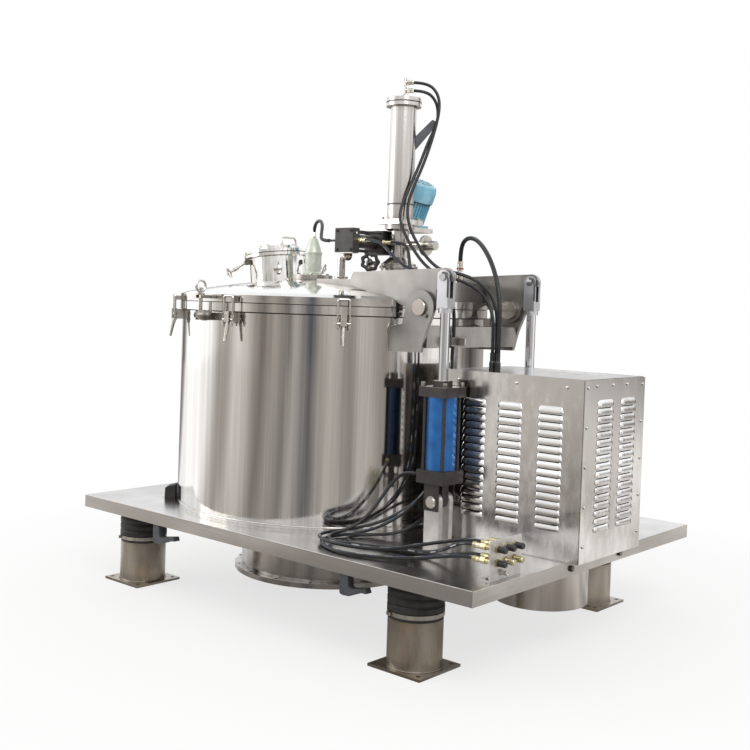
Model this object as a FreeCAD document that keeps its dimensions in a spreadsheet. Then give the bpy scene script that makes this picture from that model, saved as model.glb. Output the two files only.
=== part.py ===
import FreeCAD, Part
import Sketcher
import math
import os
import re
from FreeCAD import Placement, Rotation, Vector

doc = FreeCAD.newDocument("ScraperCentrifuge")

# Scraper centrifuge on a sprung platform, hydraulic flip-open lid.
# Origin: on the floor, under the middle of the whole machine. +X runs from the
# basket side to the motor cover, +Y to the back, +Z up. Millimetres.

# Every driving size sits in one sheet, written once.
SIZES = (
    # platform and its four sprung feet
    ("platLen", 2600), ("platWide", 1900), ("platThick", 64), ("platTop", 445),
    ("platLeft", -1340),
    ("footLeft", 266), ("footRight", 431), ("footFront", 197), ("footBack", 248),
    ("postRad", 120), ("postWall", 8), ("soleSide", 283), ("soleThick", 12),
    ("soleHole", 11), ("soleInset", 28), ("padThick", 13), ("bandHigh", 18),
    ("bellowsRad", 124), ("bellowsWall", 10), ("bellowsDip", 6),
    # casing
    ("tankIn", 930), ("tankRad", 827), ("tankWall", 8), ("tankHigh", 1035),
    ("rimRad", 840), ("rimThick", 41), ("rimIn", 792), ("floorThick", 14),
    ("neckRad", 470), ("neckWall", 8), ("neckDrop", 305), ("couplingLong", 160),
    ("couplingIn", 110), ("outFlangeRad", 506),
    ("outFlangeThick", 26), ("outHoleRad", 9), ("outHolePcd", 978), ("outHoles", 16),
    # basket and its spindle
    ("baskRad", 640), ("baskWall", 12), ("baskLow", 300), ("baskHigh", 600),
    ("lipIn", 530), ("hubRad", 140), ("spokeWide", 90), ("bearRad", 130),
    ("bearLow", 110), ("armWide", 50), ("armHigh", 130),
    # lid
    ("gasketThick", 4), ("lidBand", 36), ("lidWall", 8), ("domeEdge", 800),
    ("domeLift", 14), ("domeRise", 86), ("seat", 0.3), ("boxTop", 133), ("boxRad", 830),
    # lid hinge
    ("hingeOut", 76), ("hingeUp", 1084), ("pinRad", 34), ("bossRad", 60),
    ("armGap", 708), ("armPlate", 20), ("plateGap", 1), ("pinFit", 0.06),
    ("pinCap", 12), ("bracketBoss", 82), ("armBoss", 64), ("armEnd", 42), ("beamHigh", 100), ("beamWide", 76),
    # hydraulic lift: upper pin seen from the hinge, lower pin over the platform
    ("topPinOut", 129), ("topPinUp", 145), ("topPinRad", 18), ("topPinPlay", 13),
    ("forkWide", 62), ("forkEar", 17), ("forkGap", 2), ("forkDrop", 145),
    ("forkRise", 44), ("rodRad", 23.5), ("nutRad", 34), ("nutHigh", 22),
    ("capSide", 156), ("capTopHigh", 46), ("capLowHigh", 62), ("tubeRad", 71),
    ("tubeWall", 8), ("capTopDrop", 508), ("tubeLen", 338), ("tieRad", 8),
    ("tieInset", 22), ("footPinUp", 189), ("footPinRad", 28), ("eyeWide", 50), ("eyeRad", 36),
    ("earThick", 28), ("earWide", 84), ("earGap", 1),
    # louvred cover over the drive
    ("coverOver", 71), ("coverLen", 752), ("coverWide", 540), ("coverHigh", 799),
    ("louvWide", 118), ("louvHigh", 27), ("louvDraw", 9),
    ("louvOut", 9), ("louvPitch", 39), ("louvFoot", 78), ("drumRad", 219),
    ("drumDrop", 200), ("drumInset", 396),
    # scraper unit on the lid
    ("colReach", 450), ("colRad", 68), ("colHigh", 587), ("housRad", 92), ("housFoot", 106),
    ("neckOut", 50), ("collarRad", 78), ("ledgeOut", 180), ("ledgeBack", 292),
    ("stubDrop", 110), ("stubRad", 24), ("stubLong", 200), ("stubFlange", 53),
    ("colBase", 170), ("colBaseThick", 26), ("colCapRad", 92), ("colCapThick", 43),
    ("tipTop", 2720), ("unionLong", 48), ("housTop", 1955),
    ("shaftRad", 34), ("shaftDrop", 190), ("bladeHigh", 150),
    ("motRad", 108), ("motHigh", 256), ("motAcross", 320), ("motBack", 192), ("motLean", 23),
    ("swingSide", 124), ("swingUp", 1859), ("swingRad", 36), ("swingIn", 118),
    ("unionReach", 56), ("glandAcross", 795), ("glandBack", 75), ("glandHigh", 110),
    ("swingFront", 276), ("swingRear", 4),
    # inspection port on the lid
    ("portReach", -436), ("portRad", 171), ("portWall", 8), ("portTall", 148),
    ("portFlange", 200), ("portPlate", 16), ("portSeal", 5),
    ("coverRad", 196), ("glassRad", 116), ("glassHigh", 26), ("boltRad", 9),
    # lamp housing on the lid
    ("lampRad", 46), ("lampPad", 110), ("lampHigh", 203),
    # toggle clamps round the rim
    ("clampStep", 38.9), ("clampOut", 36), ("clampUp", 995), ("bailTop", 29),
    ("bailWide", 67), ("bailRod", 5.5), ("leverLong", 94),
    ("ringTurn", 267.6), ("ringOut", 80), ("hookGap", 1), ("hookFar", 13),
    ("gripLean", 12), ("gripDrop", 14),
)

sheet = doc.addObject("Spreadsheet::Sheet", "Dim")
for row, (word, value) in enumerate(SIZES, start=1):
    sheet.set("A%d" % row, word)
    sheet.set("B%d" % row, str(value))
    sheet.setAlias("B%d" % row, word)
doc.recompute()


# A size carries its number and the sheet formula that gives it, so the same
# sum places a piece now and keeps it bound to the sheet.
class Size:
    def __init__(self, number, text):
        self.number = float(number)
        self.text = text

    def __add__(self, other):
        return Size(self.number + num(other), "(%s + %s)" % (self.text, word_of(other)))

    def __radd__(self, other):
        return Size(num(other) + self.number, "(%s + %s)" % (word_of(other), self.text))

    def __sub__(self, other):
        return Size(self.number - num(other), "(%s - %s)" % (self.text, word_of(other)))

    def __rsub__(self, other):
        return Size(num(other) - self.number, "(%s - %s)" % (word_of(other), self.text))

    def __mul__(self, other):
        return Size(self.number * num(other), "(%s * %s)" % (self.text, word_of(other)))

    def __rmul__(self, other):
        return Size(num(other) * self.number, "(%s * %s)" % (word_of(other), self.text))

    def __truediv__(self, other):
        return Size(self.number / num(other), "(%s / %s)" % (self.text, word_of(other)))

    def __rtruediv__(self, other):
        return Size(num(other) / self.number, "(%s / %s)" % (word_of(other), self.text))

    def __neg__(self):
        return Size(-self.number, "(0 - %s)" % self.text)


def num(size):
    return size.number if isinstance(size, Size) else float(size)


def word_of(size):
    return size.text if isinstance(size, Size) else "(%s)" % repr(float(size))


def root(size):
    return Size(math.sqrt(num(size)), "sqrt(%s)" % word_of(size))


def cosd(size):
    return Size(math.cos(math.radians(num(size))), "cos(%s)" % word_of(size))


def sind(size):
    return Size(math.sin(math.radians(num(size))), "sin(%s)" % word_of(size))


class Sizes:
    pass


d = Sizes()
for word, value in SIZES:
    setattr(d, word, Size(float(sheet.get(word)), "Dim." + word))


# Small helpers, each makes one bound object
count = {}


def fresh(name):
    count[name] = count.get(name, 0) + 1
    return name if count[name] == 1 else "%s_%d" % (name, count[name])


def bind(obj, prop, size):
    if isinstance(size, Size):
        obj.setExpression(prop, size.text)
    else:
        setattr(obj, prop, size)


def place(obj, x=0, y=0, z=0, axis=None, angle=0.0):
    turn = Rotation(Vector(*axis), num(angle)) if axis else Rotation()
    obj.Placement = Placement(Vector(num(x), num(y), num(z)), turn)
    if isinstance(angle, Size):
        obj.setExpression("Placement.Rotation.Angle", angle.text)
    for letter, size in (("x", x), ("y", y), ("z", z)):
        if isinstance(size, Size):
            obj.setExpression("Placement.Base." + letter, size.text)
    return obj


def block(name, x0, x1, y0, y1, z0, z1):
    b = doc.addObject("Part::Box", fresh(name))
    for prop, low, high in (("Length", x0, x1), ("Width", y0, y1), ("Height", z0, z1)):
        bind(b, prop, high - low if isinstance(high - low, Size) else float(high - low))
    return place(b, x0, y0, z0)


LAY = {"Z": ((0, 0, 1), 0.0), "Y": ((1, 0, 0), -90.0), "X": ((0, 1, 0), 90.0)}


def rod(name, radius, length, x, y, z, way="Z"):
    c = doc.addObject("Part::Cylinder", fresh(name))
    bind(c, "Radius", radius)
    bind(c, "Height", length)
    axis, angle = LAY[way]
    return place(c, x, y, z, axis, angle)


def cone(name, low, high, length, x, y, z, way="Z"):
    c = doc.addObject("Part::Cone", fresh(name))
    bind(c, "Radius1", low)
    bind(c, "Radius2", high)
    bind(c, "Height", length)
    axis, angle = LAY[way]
    return place(c, x, y, z, axis, angle)


def fuse(name, *parts):
    f = doc.addObject("Part::MultiFuse", fresh(name))
    f.Shapes = list(parts)
    f.Refine = True
    return f


def cut(name, base, *tools):
    c = doc.addObject("Part::Cut", fresh(name))
    c.Base = base
    c.Tool = tools[0] if len(tools) == 1 else group(name + "_tools", *tools)
    c.Refine = True
    return c


def group(name, *parts):
    g = doc.addObject("Part::Compound", fresh(name))
    g.Links = list(parts)
    return g


def plane_of(body, role):
    return [o for o in body.Origin.OriginFeatures if o.Role == role][0]


def outline(body, role, points, name):
    # A closed outline through bound points. A point with a third value starts
    # an arc of that radius: positive bows to the right of the way along.
    sketch = body.newObject("Sketcher::SketchObject", name)
    sketch.AttachmentSupport = [(plane_of(body, role), "")]
    sketch.MapMode = "FlatFace"
    total = len(points)
    for i, point in enumerate(points):
        after = points[(i + 1) % total]
        a = Vector(num(point[0]), num(point[1]), 0)
        b = Vector(num(after[0]), num(after[1]), 0)
        if len(point) == 2:
            sketch.addGeometry(Part.LineSegment(a, b), False)
            continue
        radius = abs(num(point[2]))
        side = 1 if num(point[2]) > 0 else -1
        half = (b - a).Length / 2
        along = (b - a).normalize()
        right = Vector(along.y, -along.x, 0) * side
        deep = math.sqrt(max(radius ** 2 - half ** 2, 0))
        centre = (a + b) * 0.5 - right * deep
        turns = [math.atan2(v.y - centre.y, v.x - centre.x) for v in (a, b)][::side]
        circle = Part.Circle(centre, Vector(0, 0, 1), radius)
        arc = Part.ArcOfCircle(circle, turns[0], turns[1])
        sketch.addGeometry(arc, False)
    for i, point in enumerate(points):
        ends = []
        for which in (i, (i + 1) % total):
            shape = sketch.Geometry[i]
            target = Vector(num(points[which][0]), num(points[which][1]), 0)
            ends.append(1 if (shape.StartPoint - target).Length < 1e-6 else 2)
        if i == 0:
            first_ends = ends
        else:
            sketch.addConstraint(Sketcher.Constraint(
                "Coincident", i - 1, last_ends[1], i, ends[0]))
        last_ends = ends
        for kind, size in (("DistanceX", point[0]), ("DistanceY", point[1])):
            n = sketch.addConstraint(Sketcher.Constraint(
                kind, -1, 1, i, ends[0], num(size)))
            if isinstance(size, Size):
                sketch.setExpression("Constraints[%d]" % n, size.text)
        if len(point) == 3:
            n = sketch.addConstraint(Sketcher.Constraint("Radius", i, abs(num(point[2]))))
            if isinstance(point[2], Size):
                text = point[2].text if num(point[2]) > 0 else "(0 - %s)" % point[2].text
                sketch.setExpression("Constraints[%d]" % n, text)
    sketch.addConstraint(Sketcher.Constraint(
        "Coincident", total - 1, last_ends[1], 0, first_ends[0]))
    return sketch


def turned(name, points, x=0, y=0, z=0, axis=None, angle=0.0, sweep=360.0):
    # Solid of revolution about its own Z: points are (radius, height).
    body = doc.addObject("PartDesign::Body", fresh(name))
    sketch = outline(body, "XZ_Plane", points, fresh(name + "_profile"))
    rev = body.newObject("PartDesign::Revolution", fresh(name + "_turn"))
    rev.Profile = sketch
    rev.ReferenceAxis = (sketch, ["V_Axis"])
    rev.Angle = sweep
    return place(body, x, y, z, axis, angle)


def plate(name, role, points, thick, x=0, y=0, z=0, axis=None, angle=0.0):
    # Plate cut to an outline, as thick on both sides of its plane.
    body = doc.addObject("PartDesign::Body", fresh(name))
    sketch = outline(body, role, points, fresh(name + "_outline"))
    pad = body.newObject("PartDesign::Pad", fresh(name + "_pad"))
    pad.Profile = sketch
    bind(pad, "Length", thick)
    pad.Midplane = True
    return place(body, x, y, z, axis, angle)


def bend(points, radius):
    # Tube along straight runs joined by tangent arcs, each arc as large as
    # its two runs allow.
    spots = [Vector(*p) for p in points]
    edges = []
    radii = []
    start = spots[0]
    for before, here, after in zip(spots, spots[1:], spots[2:]):
        into = (here - before).normalize()
        out = (after - here).normalize()
        turn = into.getAngle(out)
        room = 0.45 * min((here - before).Length, (after - here).Length)
        r = room / math.tan(turn / 2)
        radii.append(r)
        a = here - into * room
        b = here + out * room
        centre = here + (out - into).normalize() * (r / math.cos(turn / 2))
        middle = centre + (here - centre).normalize() * r
        if (a - start).Length > 1e-6:
            edges.append(Part.LineSegment(start, a).toShape())
        edges.append(Part.Arc(a, middle, b).toShape())
        start = b
    edges.append(Part.LineSegment(start, spots[-1]).toShape())
    path = Part.Wire(edges)
    ring = Part.Wire(Part.Circle(spots[0], spots[1] - spots[0], radius).toShape())
    solid = path.makePipeShell([ring], True, True)
    if solid.Volume < 0:
        solid.reverse()
    return solid, path.Length, radii


nodes = []


def node(name, obj):
    obj.Label = name
    nodes.append((name, obj))
    return obj


# Platform
plat_right = d.platLeft + d.platLen
plat_half = d.platWide / 2
plat_low = d.platTop - d.platThick
tank_x = d.platLeft + d.tankIn

slab = block("slab", d.platLeft, plat_right, -plat_half, plat_half, plat_low, d.platTop)
node("platform", cut("platform", slab,
     rod("platform_throat", d.neckRad + 2, d.platThick + 20, tank_x, 0, plat_low - 10)))

# Four feet: sole plate with bolt holes, post, rubber pad, clamp band, bellows
posts, bands, bellows = [], [], []
post_top = plat_low - 162
for fx in (d.platLeft + d.footLeft, plat_right - d.footRight):
    for fy in (-plat_half + d.footFront, plat_half - d.footBack):
        half = d.soleSide / 2
        sole = block("sole", fx - half, fx + half, fy - half, fy + half, 0, d.soleThick)
        holes = []
        for sx in (-1, 1):
            for sy in (-1, 1):
                holes.append(rod("sole_hole", d.soleHole, d.soleThick + 10,
                                 fx + sx * (half - d.soleInset),
                                 fy + sy * (half - d.soleInset), -5))
        post = turned("post", (
            (d.postRad - d.postWall, d.soleThick), (d.postRad, d.soleThick),
            (d.postRad, post_top), (d.postRad - d.postWall, post_top)), fx, fy)
        posts.append(fuse("foot", cut("sole_drilled", sole, *holes), post))
        base = post_top + d.padThick
        bands.append(turned("band", (
            (d.bellowsRad - 4, base), (d.bellowsRad, base),
            (d.bellowsRad, base + d.bandHigh), (d.bellowsRad - 4, base + d.bandHigh)),
            fx, fy))
        folds = 4
        foot_z = base + d.bandHigh
        fold = (plat_low - foot_z) / folds
        profile = [(d.bellowsRad - d.bellowsWall - 4, post_top), (d.postRad - 3, post_top),
                   (d.postRad - 3, base), (d.bellowsRad - 4.3, base),
                   (d.bellowsRad - 4.3, foot_z)]
        for k in range(folds):
            profile.append((d.bellowsRad, foot_z + fold * (k + 0.12)))
            profile.append((d.bellowsRad, foot_z + fold * (k + 0.72)))
            profile.append((d.bellowsRad - d.bellowsDip, foot_z + fold * (k + 1)))
        profile.append((d.bellowsRad - d.bellowsWall - 4, plat_low))
        bellows.append(turned("bellows", profile, fx, fy))
node("foot_posts", group("foot_posts", *posts))
node("foot_bands", group("foot_bands", *bands))
node("foot_bellows", group("foot_bellows", *bellows))

# Casing: shell with bolting rim, floor ring, outlet neck with drilled flange
shell_top = d.platTop + d.tankHigh
rim_top = shell_top + d.rimThick
node("casing_shell", turned("casing_shell", (
    (d.tankRad - d.tankWall, d.platTop + d.floorThick), (d.tankRad, d.platTop + d.floorThick),
    (d.tankRad, shell_top), (d.tankRad - d.tankWall, shell_top)), tank_x, 0))
node("casing_rim", turned("casing_rim", (
    (d.rimIn, shell_top), (d.rimRad, shell_top), (d.rimRad, rim_top), (d.rimIn, rim_top)),
    tank_x, 0))
neck_in = d.neckRad - d.neckWall
node("casing_floor", turned("casing_floor", (
    (neck_in, d.platTop), (d.tankRad + 5, d.platTop),
    (d.tankRad + 5, d.platTop + d.floorThick), (neck_in, d.platTop + d.floorThick)),
    tank_x, 0))
out_z = plat_low - d.neckDrop
neck = turned("neck", (
    (neck_in, out_z), (d.outFlangeRad, out_z), (d.outFlangeRad, out_z + d.outFlangeThick),
    (d.neckRad, out_z + d.outFlangeThick), (d.neckRad, d.platTop), (neck_in, d.platTop)),
    tank_x, 0)
drills = []
for k in range(int(num(d.outHoles))):
    turn = (k + 0.5) * 360.0 / d.outHoles
    drills.append(rod("outlet_hole", d.outHoleRad, d.outFlangeThick + 20,
                      tank_x + d.outHolePcd / 2 * cosd(turn), d.outHolePcd / 2 * sind(turn),
                      out_z - 10))
node("outlet_neck", cut("outlet_neck", neck, *drills))

# Spindle housing on three arms inside the outlet neck, basket above it
bear_z = out_z + d.bearLow
bear_top = d.platTop + d.baskLow - 22
housing = rod("spindle_body", d.bearRad, bear_top - bear_z, tank_x, 0, bear_z)
arms = []
for k in range(3):
    arm = doc.addObject("Part::Box", fresh("spindle_arm"))
    bind(arm, "Length", neck_in - d.bearRad + 40)
    bind(arm, "Width", d.armWide)
    bind(arm, "Height", d.armHigh)
    a = 60 + 120 * k
    reach = d.bearRad - 20
    side = d.armWide / 2
    place(arm, tank_x + reach * cosd(a) + side * sind(a), reach * sind(a) - side * cosd(a),
          bear_z + 60, (0, 0, 1), a)
    arms.append(arm)
trim = doc.addObject("Part::Common", "spindle_trim")
trim.Base = fuse("spindle_whole", housing, *arms)
trim.Tool = rod("neck_form", neck_in - 0.3, d.tankHigh, tank_x, 0, out_z)
node("spindle_housing", trim)
bask_z = d.platTop + d.baskLow
bask_in = d.baskRad - d.baskWall
bask_top = bask_z + d.baskHigh
wall = turned("basket_wall", (
    (bask_in - 70, bask_z), (d.baskRad, bask_z), (d.baskRad, bask_top),
    (d.lipIn, bask_top), (d.lipIn, bask_top - d.baskWall),
    (bask_in, bask_top - d.baskWall), (bask_in, bask_z + 14), (bask_in - 70, bask_z + 14)),
    tank_x, 0)
hub = turned("basket_hub", (
    (0, bask_z - 22), (60, bask_z - 22), (60, bask_z), (d.hubRad, bask_z),
    (d.hubRad * 0.8, bask_z + 60), (60, bask_z + 110), (0, bask_z + 110)), tank_x, 0)
spokes = []
for k in range(6):
    spoke = doc.addObject("Part::Box", fresh("basket_spoke"))
    bind(spoke, "Length", bask_in - 60 - d.hubRad * 0.7)
    bind(spoke, "Width", d.spokeWide)
    spoke.Height = 14
    a = 60 * k
    reach = d.hubRad * 0.7
    side = d.spokeWide / 2
    place(spoke, tank_x + reach * cosd(a) + side * sind(a), reach * sind(a) - side * cosd(a),
          bask_z, (0, 0, 1), a)
    spokes.append(spoke)
node("basket", fuse("basket", wall, hub, *spokes))

# Lid: band, knuckle and shallow dome, hollow below, with port and shaft holes
lid_z = rim_top + d.gasketThick
edge_z = d.lidBand + d.domeLift
dome_rad = (d.domeEdge * d.domeEdge + d.domeRise * d.domeRise) / (2 * d.domeRise)
dome_in = dome_rad - d.lidWall
apex = edge_z + d.domeRise
inner_edge = d.domeEdge - 4
in_fall = dome_in - root(dome_in * dome_in - inner_edge * inner_edge)
lid_body = turned("lid_body", (
    (d.rimIn, 0), (d.rimRad, 0), (d.rimRad, d.lidBand), (d.domeEdge, edge_z, dome_rad),
    (0, apex), (0, apex - d.lidWall, dome_in * -1), (inner_edge, apex - d.lidWall - in_fall),
    (d.rimIn, d.lidBand - 6)), tank_x, 0, lid_z)
# The outer form of the lid, a seat gap larger, trims whatever is welded on it
lid_form = turned("lid_form", (
    (0, 0), (d.rimRad + d.seat, 0), (d.rimRad + d.seat, d.lidBand + d.seat),
    (d.domeEdge, edge_z + d.seat, dome_rad), (0, apex + d.seat)), tank_x, 0, lid_z)
port_x = tank_x + d.portReach
col_x = tank_x + d.colReach
port_z = lid_z + apex - dome_rad + root(dome_rad * dome_rad - d.portReach * d.portReach)
box_z = lid_z + d.boxTop
lid_holes = [
    place(rod("port_hole", d.portRad - d.portWall, 160, 0, 0, 0), port_x + 8, 0, port_z - 80,
          (0, 1, 0), -6.5),
    rod("shaft_hole", d.shaftRad + 3, 300, col_x, 0, lid_z)]
node("lid", cut("lid", lid_body, *lid_holes))
gasket = turned("rim_gasket", (
    (d.rimIn + 6, rim_top + d.seat), (d.rimRad - 4, rim_top + d.seat), (d.rimRad - 4, lid_z),
    (d.rimIn + 6, lid_z)), tank_x, 0)

# Hinge: bracket plates with pins on the casing, arm plates on the lid
hinge_reach = d.rimRad + d.hingeOut
hinge_x = tank_x + hinge_reach
hinge_z = d.platTop + d.hingeUp
arm_y = d.armGap / 2 + d.armPlate / 2
plate_y = arm_y + d.armPlate + d.plateGap
tank_side = -hinge_reach + 715
bracket_pts = (
    (tank_side, -214), (12, -211), (40, -113),
    (d.bracketBoss * cosd(-24), d.bracketBoss * sind(-24), d.bracketBoss),
    (d.bracketBoss * cosd(148), d.bracketBoss * sind(148)), (tank_side, -97))
arm_pts = (
    (-474, 104), (-234, 40), (-169, 25),
    (d.armBoss * cosd(196), d.armBoss * sind(196), d.armBoss),
    (d.armBoss * cosd(340), d.armBoss * sind(340)),
    (d.topPinOut - 50, 34), (d.topPinOut - 50, 86),
    (d.topPinOut + d.armEnd * cosd(-30), d.topPinUp + d.armEnd * sind(-30), d.armEnd),
    (d.topPinOut + d.armEnd * cosd(100), d.topPinUp + d.armEnd * sind(100)), (-447, 164))
tank_form = rod("tank_form", d.tankRad + d.seat, d.tankHigh, tank_x, 0, d.platTop)
brackets, lid_arms, pins = [], [], []
for side in (-1, 1):
    blank = plate("bracket", "XZ_Plane", bracket_pts, d.armPlate, hinge_x, side * plate_y, hinge_z)
    bore = rod("bracket_bore", d.pinRad + d.pinFit, 60, hinge_x, side * plate_y - 30, hinge_z, "Y")
    brackets.append(cut("bracket_bored", blank, bore, tank_form))
    flap = plate("lid_arm", "XZ_Plane", arm_pts, d.armPlate, hinge_x, side * arm_y, hinge_z)
    eye = rod("arm_bore", d.pinRad + d.pinFit, 60, hinge_x, side * arm_y - 30, hinge_z, "Y")
    slot = rod("arm_top_bore", d.topPinRad + d.topPinPlay, 60, hinge_x + d.topPinOut,
               side * arm_y - 30, hinge_z + d.topPinUp, "Y")
    lid_arms.append(cut("lid_arm_bored", flap, eye, slot, lid_form))
    near = arm_y - d.armPlate / 2
    far = plate_y + d.armPlate / 2
    spans = ((d.pinRad, near - 21, far), (d.bossRad, far, far + d.pinCap),
             (d.bossRad * 0.8, near - 20.5, near - 0.5))
    pins.append(fuse("hinge_pin", *[
        rod("hinge_turned", r, high - low, hinge_x, low if side > 0 else high * -1, hinge_z, "Y")
        for r, low, high in spans]))
node("hinge_brackets", group("hinge_brackets", *brackets))
node("hinge_pins", group("hinge_pins", *pins))
node("lid_arms", group("lid_arms", *lid_arms))
beam_z = hinge_z - 190
beam_y = plate_y - d.armPlate / 2
beam_x = hinge_x - 42
beam_out = beam_x + d.beamWide
strap_z = beam_z + 10
strap = fuse("hose_strap",
             block("strap_tail", beam_out, beam_out + 5, -150, -72, strap_z, strap_z + 42),
             block("strap_step", beam_out, beam_out + 43, -155, -150, strap_z, strap_z + 42),
             block("strap_face", beam_out + 38, beam_out + 43, -236, -150, strap_z, strap_z + 42),
             block("strap_end", beam_out, beam_out + 43, -236, -231, strap_z, strap_z + 42))
node("hinge_beam", fuse("hinge_beam", strap, cut("hinge_beam_blank",
     block("beam", beam_x, beam_x + d.beamWide, -beam_y, beam_y, beam_z, beam_z + d.beamHigh),
     block("beam_hollow", beam_x - 5, beam_x + d.beamWide - 8, -beam_y + 8, beam_y - 8,
           beam_z + 8, beam_z + d.beamHigh - 8))))
# Raised deck between the arms, its outer wall follows the lid's edge
deck_y = arm_y - d.armPlate / 2 - d.seat
deck = doc.addObject("Part::Common", "deck_round")
deck.Base = rod("deck_disc", d.boxRad, d.boxTop, tank_x, 0, lid_z)
deck.Tool = block("deck_span", tank_x + 200, tank_x + 900, -deck_y, deck_y, lid_z + 30, box_z + 20)
node("lid_deck", cut("lid_deck", deck, lid_form,
                     rod("deck_bore", d.shaftRad + 3, 300, col_x, 0, lid_z)))

# Lifting cylinders, upright beside the hinge
pin_x = hinge_x + d.topPinOut
top_z = hinge_z + d.topPinUp
low_z = d.platTop + d.footPinUp
lift_feet, lift_ends = [], []
for side, tail in ((-1, "front"), (1, "rear")):
    cy = side * arm_y
    fork_low = top_z - d.forkDrop
    ear_in = d.armPlate / 2 + d.forkGap
    half = ear_in + d.forkEar
    w = d.forkWide / 2
    ears = []
    for s in (-1, 1):
        ears.append(plate("fork_ear", "XZ_Plane", (
            (-w, -d.forkDrop + 44), (w, -d.forkDrop + 44), (w, w * 0.4, w * 1.1), (-w, w * 0.4)),
            d.forkEar, pin_x, cy + s * (ear_in + d.forkEar / 2), top_z))
    base = block("fork_base", pin_x - w, pin_x + w, cy - half, cy + half, fork_low, fork_low + 46)
    nut = rod("fork_nut", d.nutRad, d.nutHigh, pin_x, cy, fork_low - d.nutHigh)
    pin_low = cy - half - 6
    node("fork_" + tail, cut("fork_" + tail, fuse("fork_blank", base, nut, *ears),
         rod("fork_bore", d.topPinRad + d.pinFit, 120, pin_x, cy - 60, top_z, "Y")))
    top_pin = rod("top_pin", d.topPinRad, half * 2 + 12, pin_x, pin_low, top_z, "Y")
    cap_z = top_z - d.capTopDrop
    stroke_in = 160
    node("rod_" + tail, group("rod_pin_" + tail, top_pin, rod(
        "rod_" + tail, d.rodRad, fork_low - d.nutHigh - cap_z + stroke_in, pin_x, cy,
        cap_z - stroke_in)))
    s = d.capSide / 2
    cap_low = cap_z - d.capTopHigh
    cap = cut("cap_bored", block("cap_top", pin_x - s, pin_x + s, cy - s, cy + s, cap_low, cap_z),
              rod("cap_bore", d.rodRad + d.pinFit, d.capTopHigh + 20, pin_x, cy, cap_low - 10))
    tube_low = cap_low - d.tubeLen
    node("tube_" + tail, turned("tube_" + tail, (
        (d.tubeRad - d.tubeWall, 0), (d.tubeRad, 0), (d.tubeRad, d.tubeLen),
        (d.tubeRad - d.tubeWall, d.tubeLen)), pin_x, cy, tube_low))
    foot_z = tube_low - d.capLowHigh
    foot = block("cap_low", pin_x - s, pin_x + s, cy - s, cy + s, foot_z, tube_low)
    e = d.eyeRad
    eye = plate("foot_eye", "XZ_Plane", (
        (-e, foot_z - low_z), (-e, 0, e * 1.01), (e, 0), (e, foot_z - low_z)),
        d.eyeWide, pin_x, cy, low_z)
    eye_hole = rod("eye_hole", d.footPinRad + d.pinFit, 100, pin_x, cy - 50, low_z, "Y")
    ties = []
    for sx in (-1, 1):
        for sy in (-1, 1):
            ties.append(rod("tie_rod", d.tieRad, d.tubeLen, pin_x + sx * (s - d.tieInset),
                            cy + sy * (s - d.tieInset), tube_low))
    union_y, union_z = cy + (34 if tail == "rear" else -31), tube_low - 31
    union = rod("lift_union", 11, 37, pin_x - s - 27, union_y, union_z, "X")
    lift_ends.append(Vector(num(pin_x - s) - 27, num(union_y), num(union_z)))
    node("caps_" + tail, fuse("caps_" + tail, cap, foot, union,
                              cut("eye_bored", eye, eye_hole), *ties))
    fork = []
    for k in (-1, 1):
        fork.append(plate("foot_ear", "XZ_Plane", (
            (-d.earWide / 2, -d.footPinUp), (-d.earWide / 2, 10, d.earWide * -0.512), (d.earWide / 2, 10),
            (d.earWide / 2, -d.footPinUp)), d.earThick, pin_x,
            cy + k * (d.eyeWide / 2 + d.earGap + d.earThick / 2), low_z))
    reach = d.eyeWide / 2 + d.earGap + d.earThick
    bolt = rod("foot_bolt", d.footPinRad, reach * 2 + 16, pin_x, cy - reach - 8, low_z, "Y")
    lift_feet.append(fuse("lift_foot_" + tail, bolt, *fork))

node("lift_feet", group("lift_feet", *lift_feet))

# Louvred cover over the drive and the drum below the platform
cover_x = plat_right + d.coverOver - d.coverLen
drum_x = cover_x + d.drumInset
half_cov = d.coverWide / 2
cover_top = d.platTop + d.coverHigh
shell = block("cover_shell", cover_x, cover_x + d.coverLen, -half_cov, half_cov,
              d.platTop, cover_top)
wedge_parts = []
for face, columns, rows in (("side", (0.21, 0.51, 0.81), 16), ("end", (0.27, 0.73), 17)):
    for across in columns:
        for row in range(rows):
            w = doc.addObject("Part::Wedge", fresh("louvre"))
            w.Xmin, w.Ymin, w.Zmin, w.X2min, w.Z2min, w.Z2max = 0, 0, 0, 0, 0, 0.5
            bind(w, "Xmax", d.louvWide)
            bind(w, "Ymax", d.louvHigh)
            bind(w, "Zmax", d.louvOut)
            bind(w, "X2max", d.louvWide - d.louvDraw)
            bind(w, "X2min", d.louvDraw)
            up = d.platTop + d.louvFoot + 40 + d.louvPitch * row
            if face == "side":
                place(w, cover_x + d.coverLen * across - d.louvWide / 2, -half_cov, up,
                      (1, 0, 0), 90)
            else:
                place(w, cover_x + d.coverLen, -half_cov + d.coverWide * across - d.louvWide / 2,
                      up, (1, 1, 1), 120)
            wedge_parts.append(w)
node("drive_cover", fuse("drive_cover", shell, *wedge_parts))
node("drive_drum", rod("drive_drum", d.drumRad, d.drumDrop, drum_x, 0, plat_low - d.drumDrop))

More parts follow.
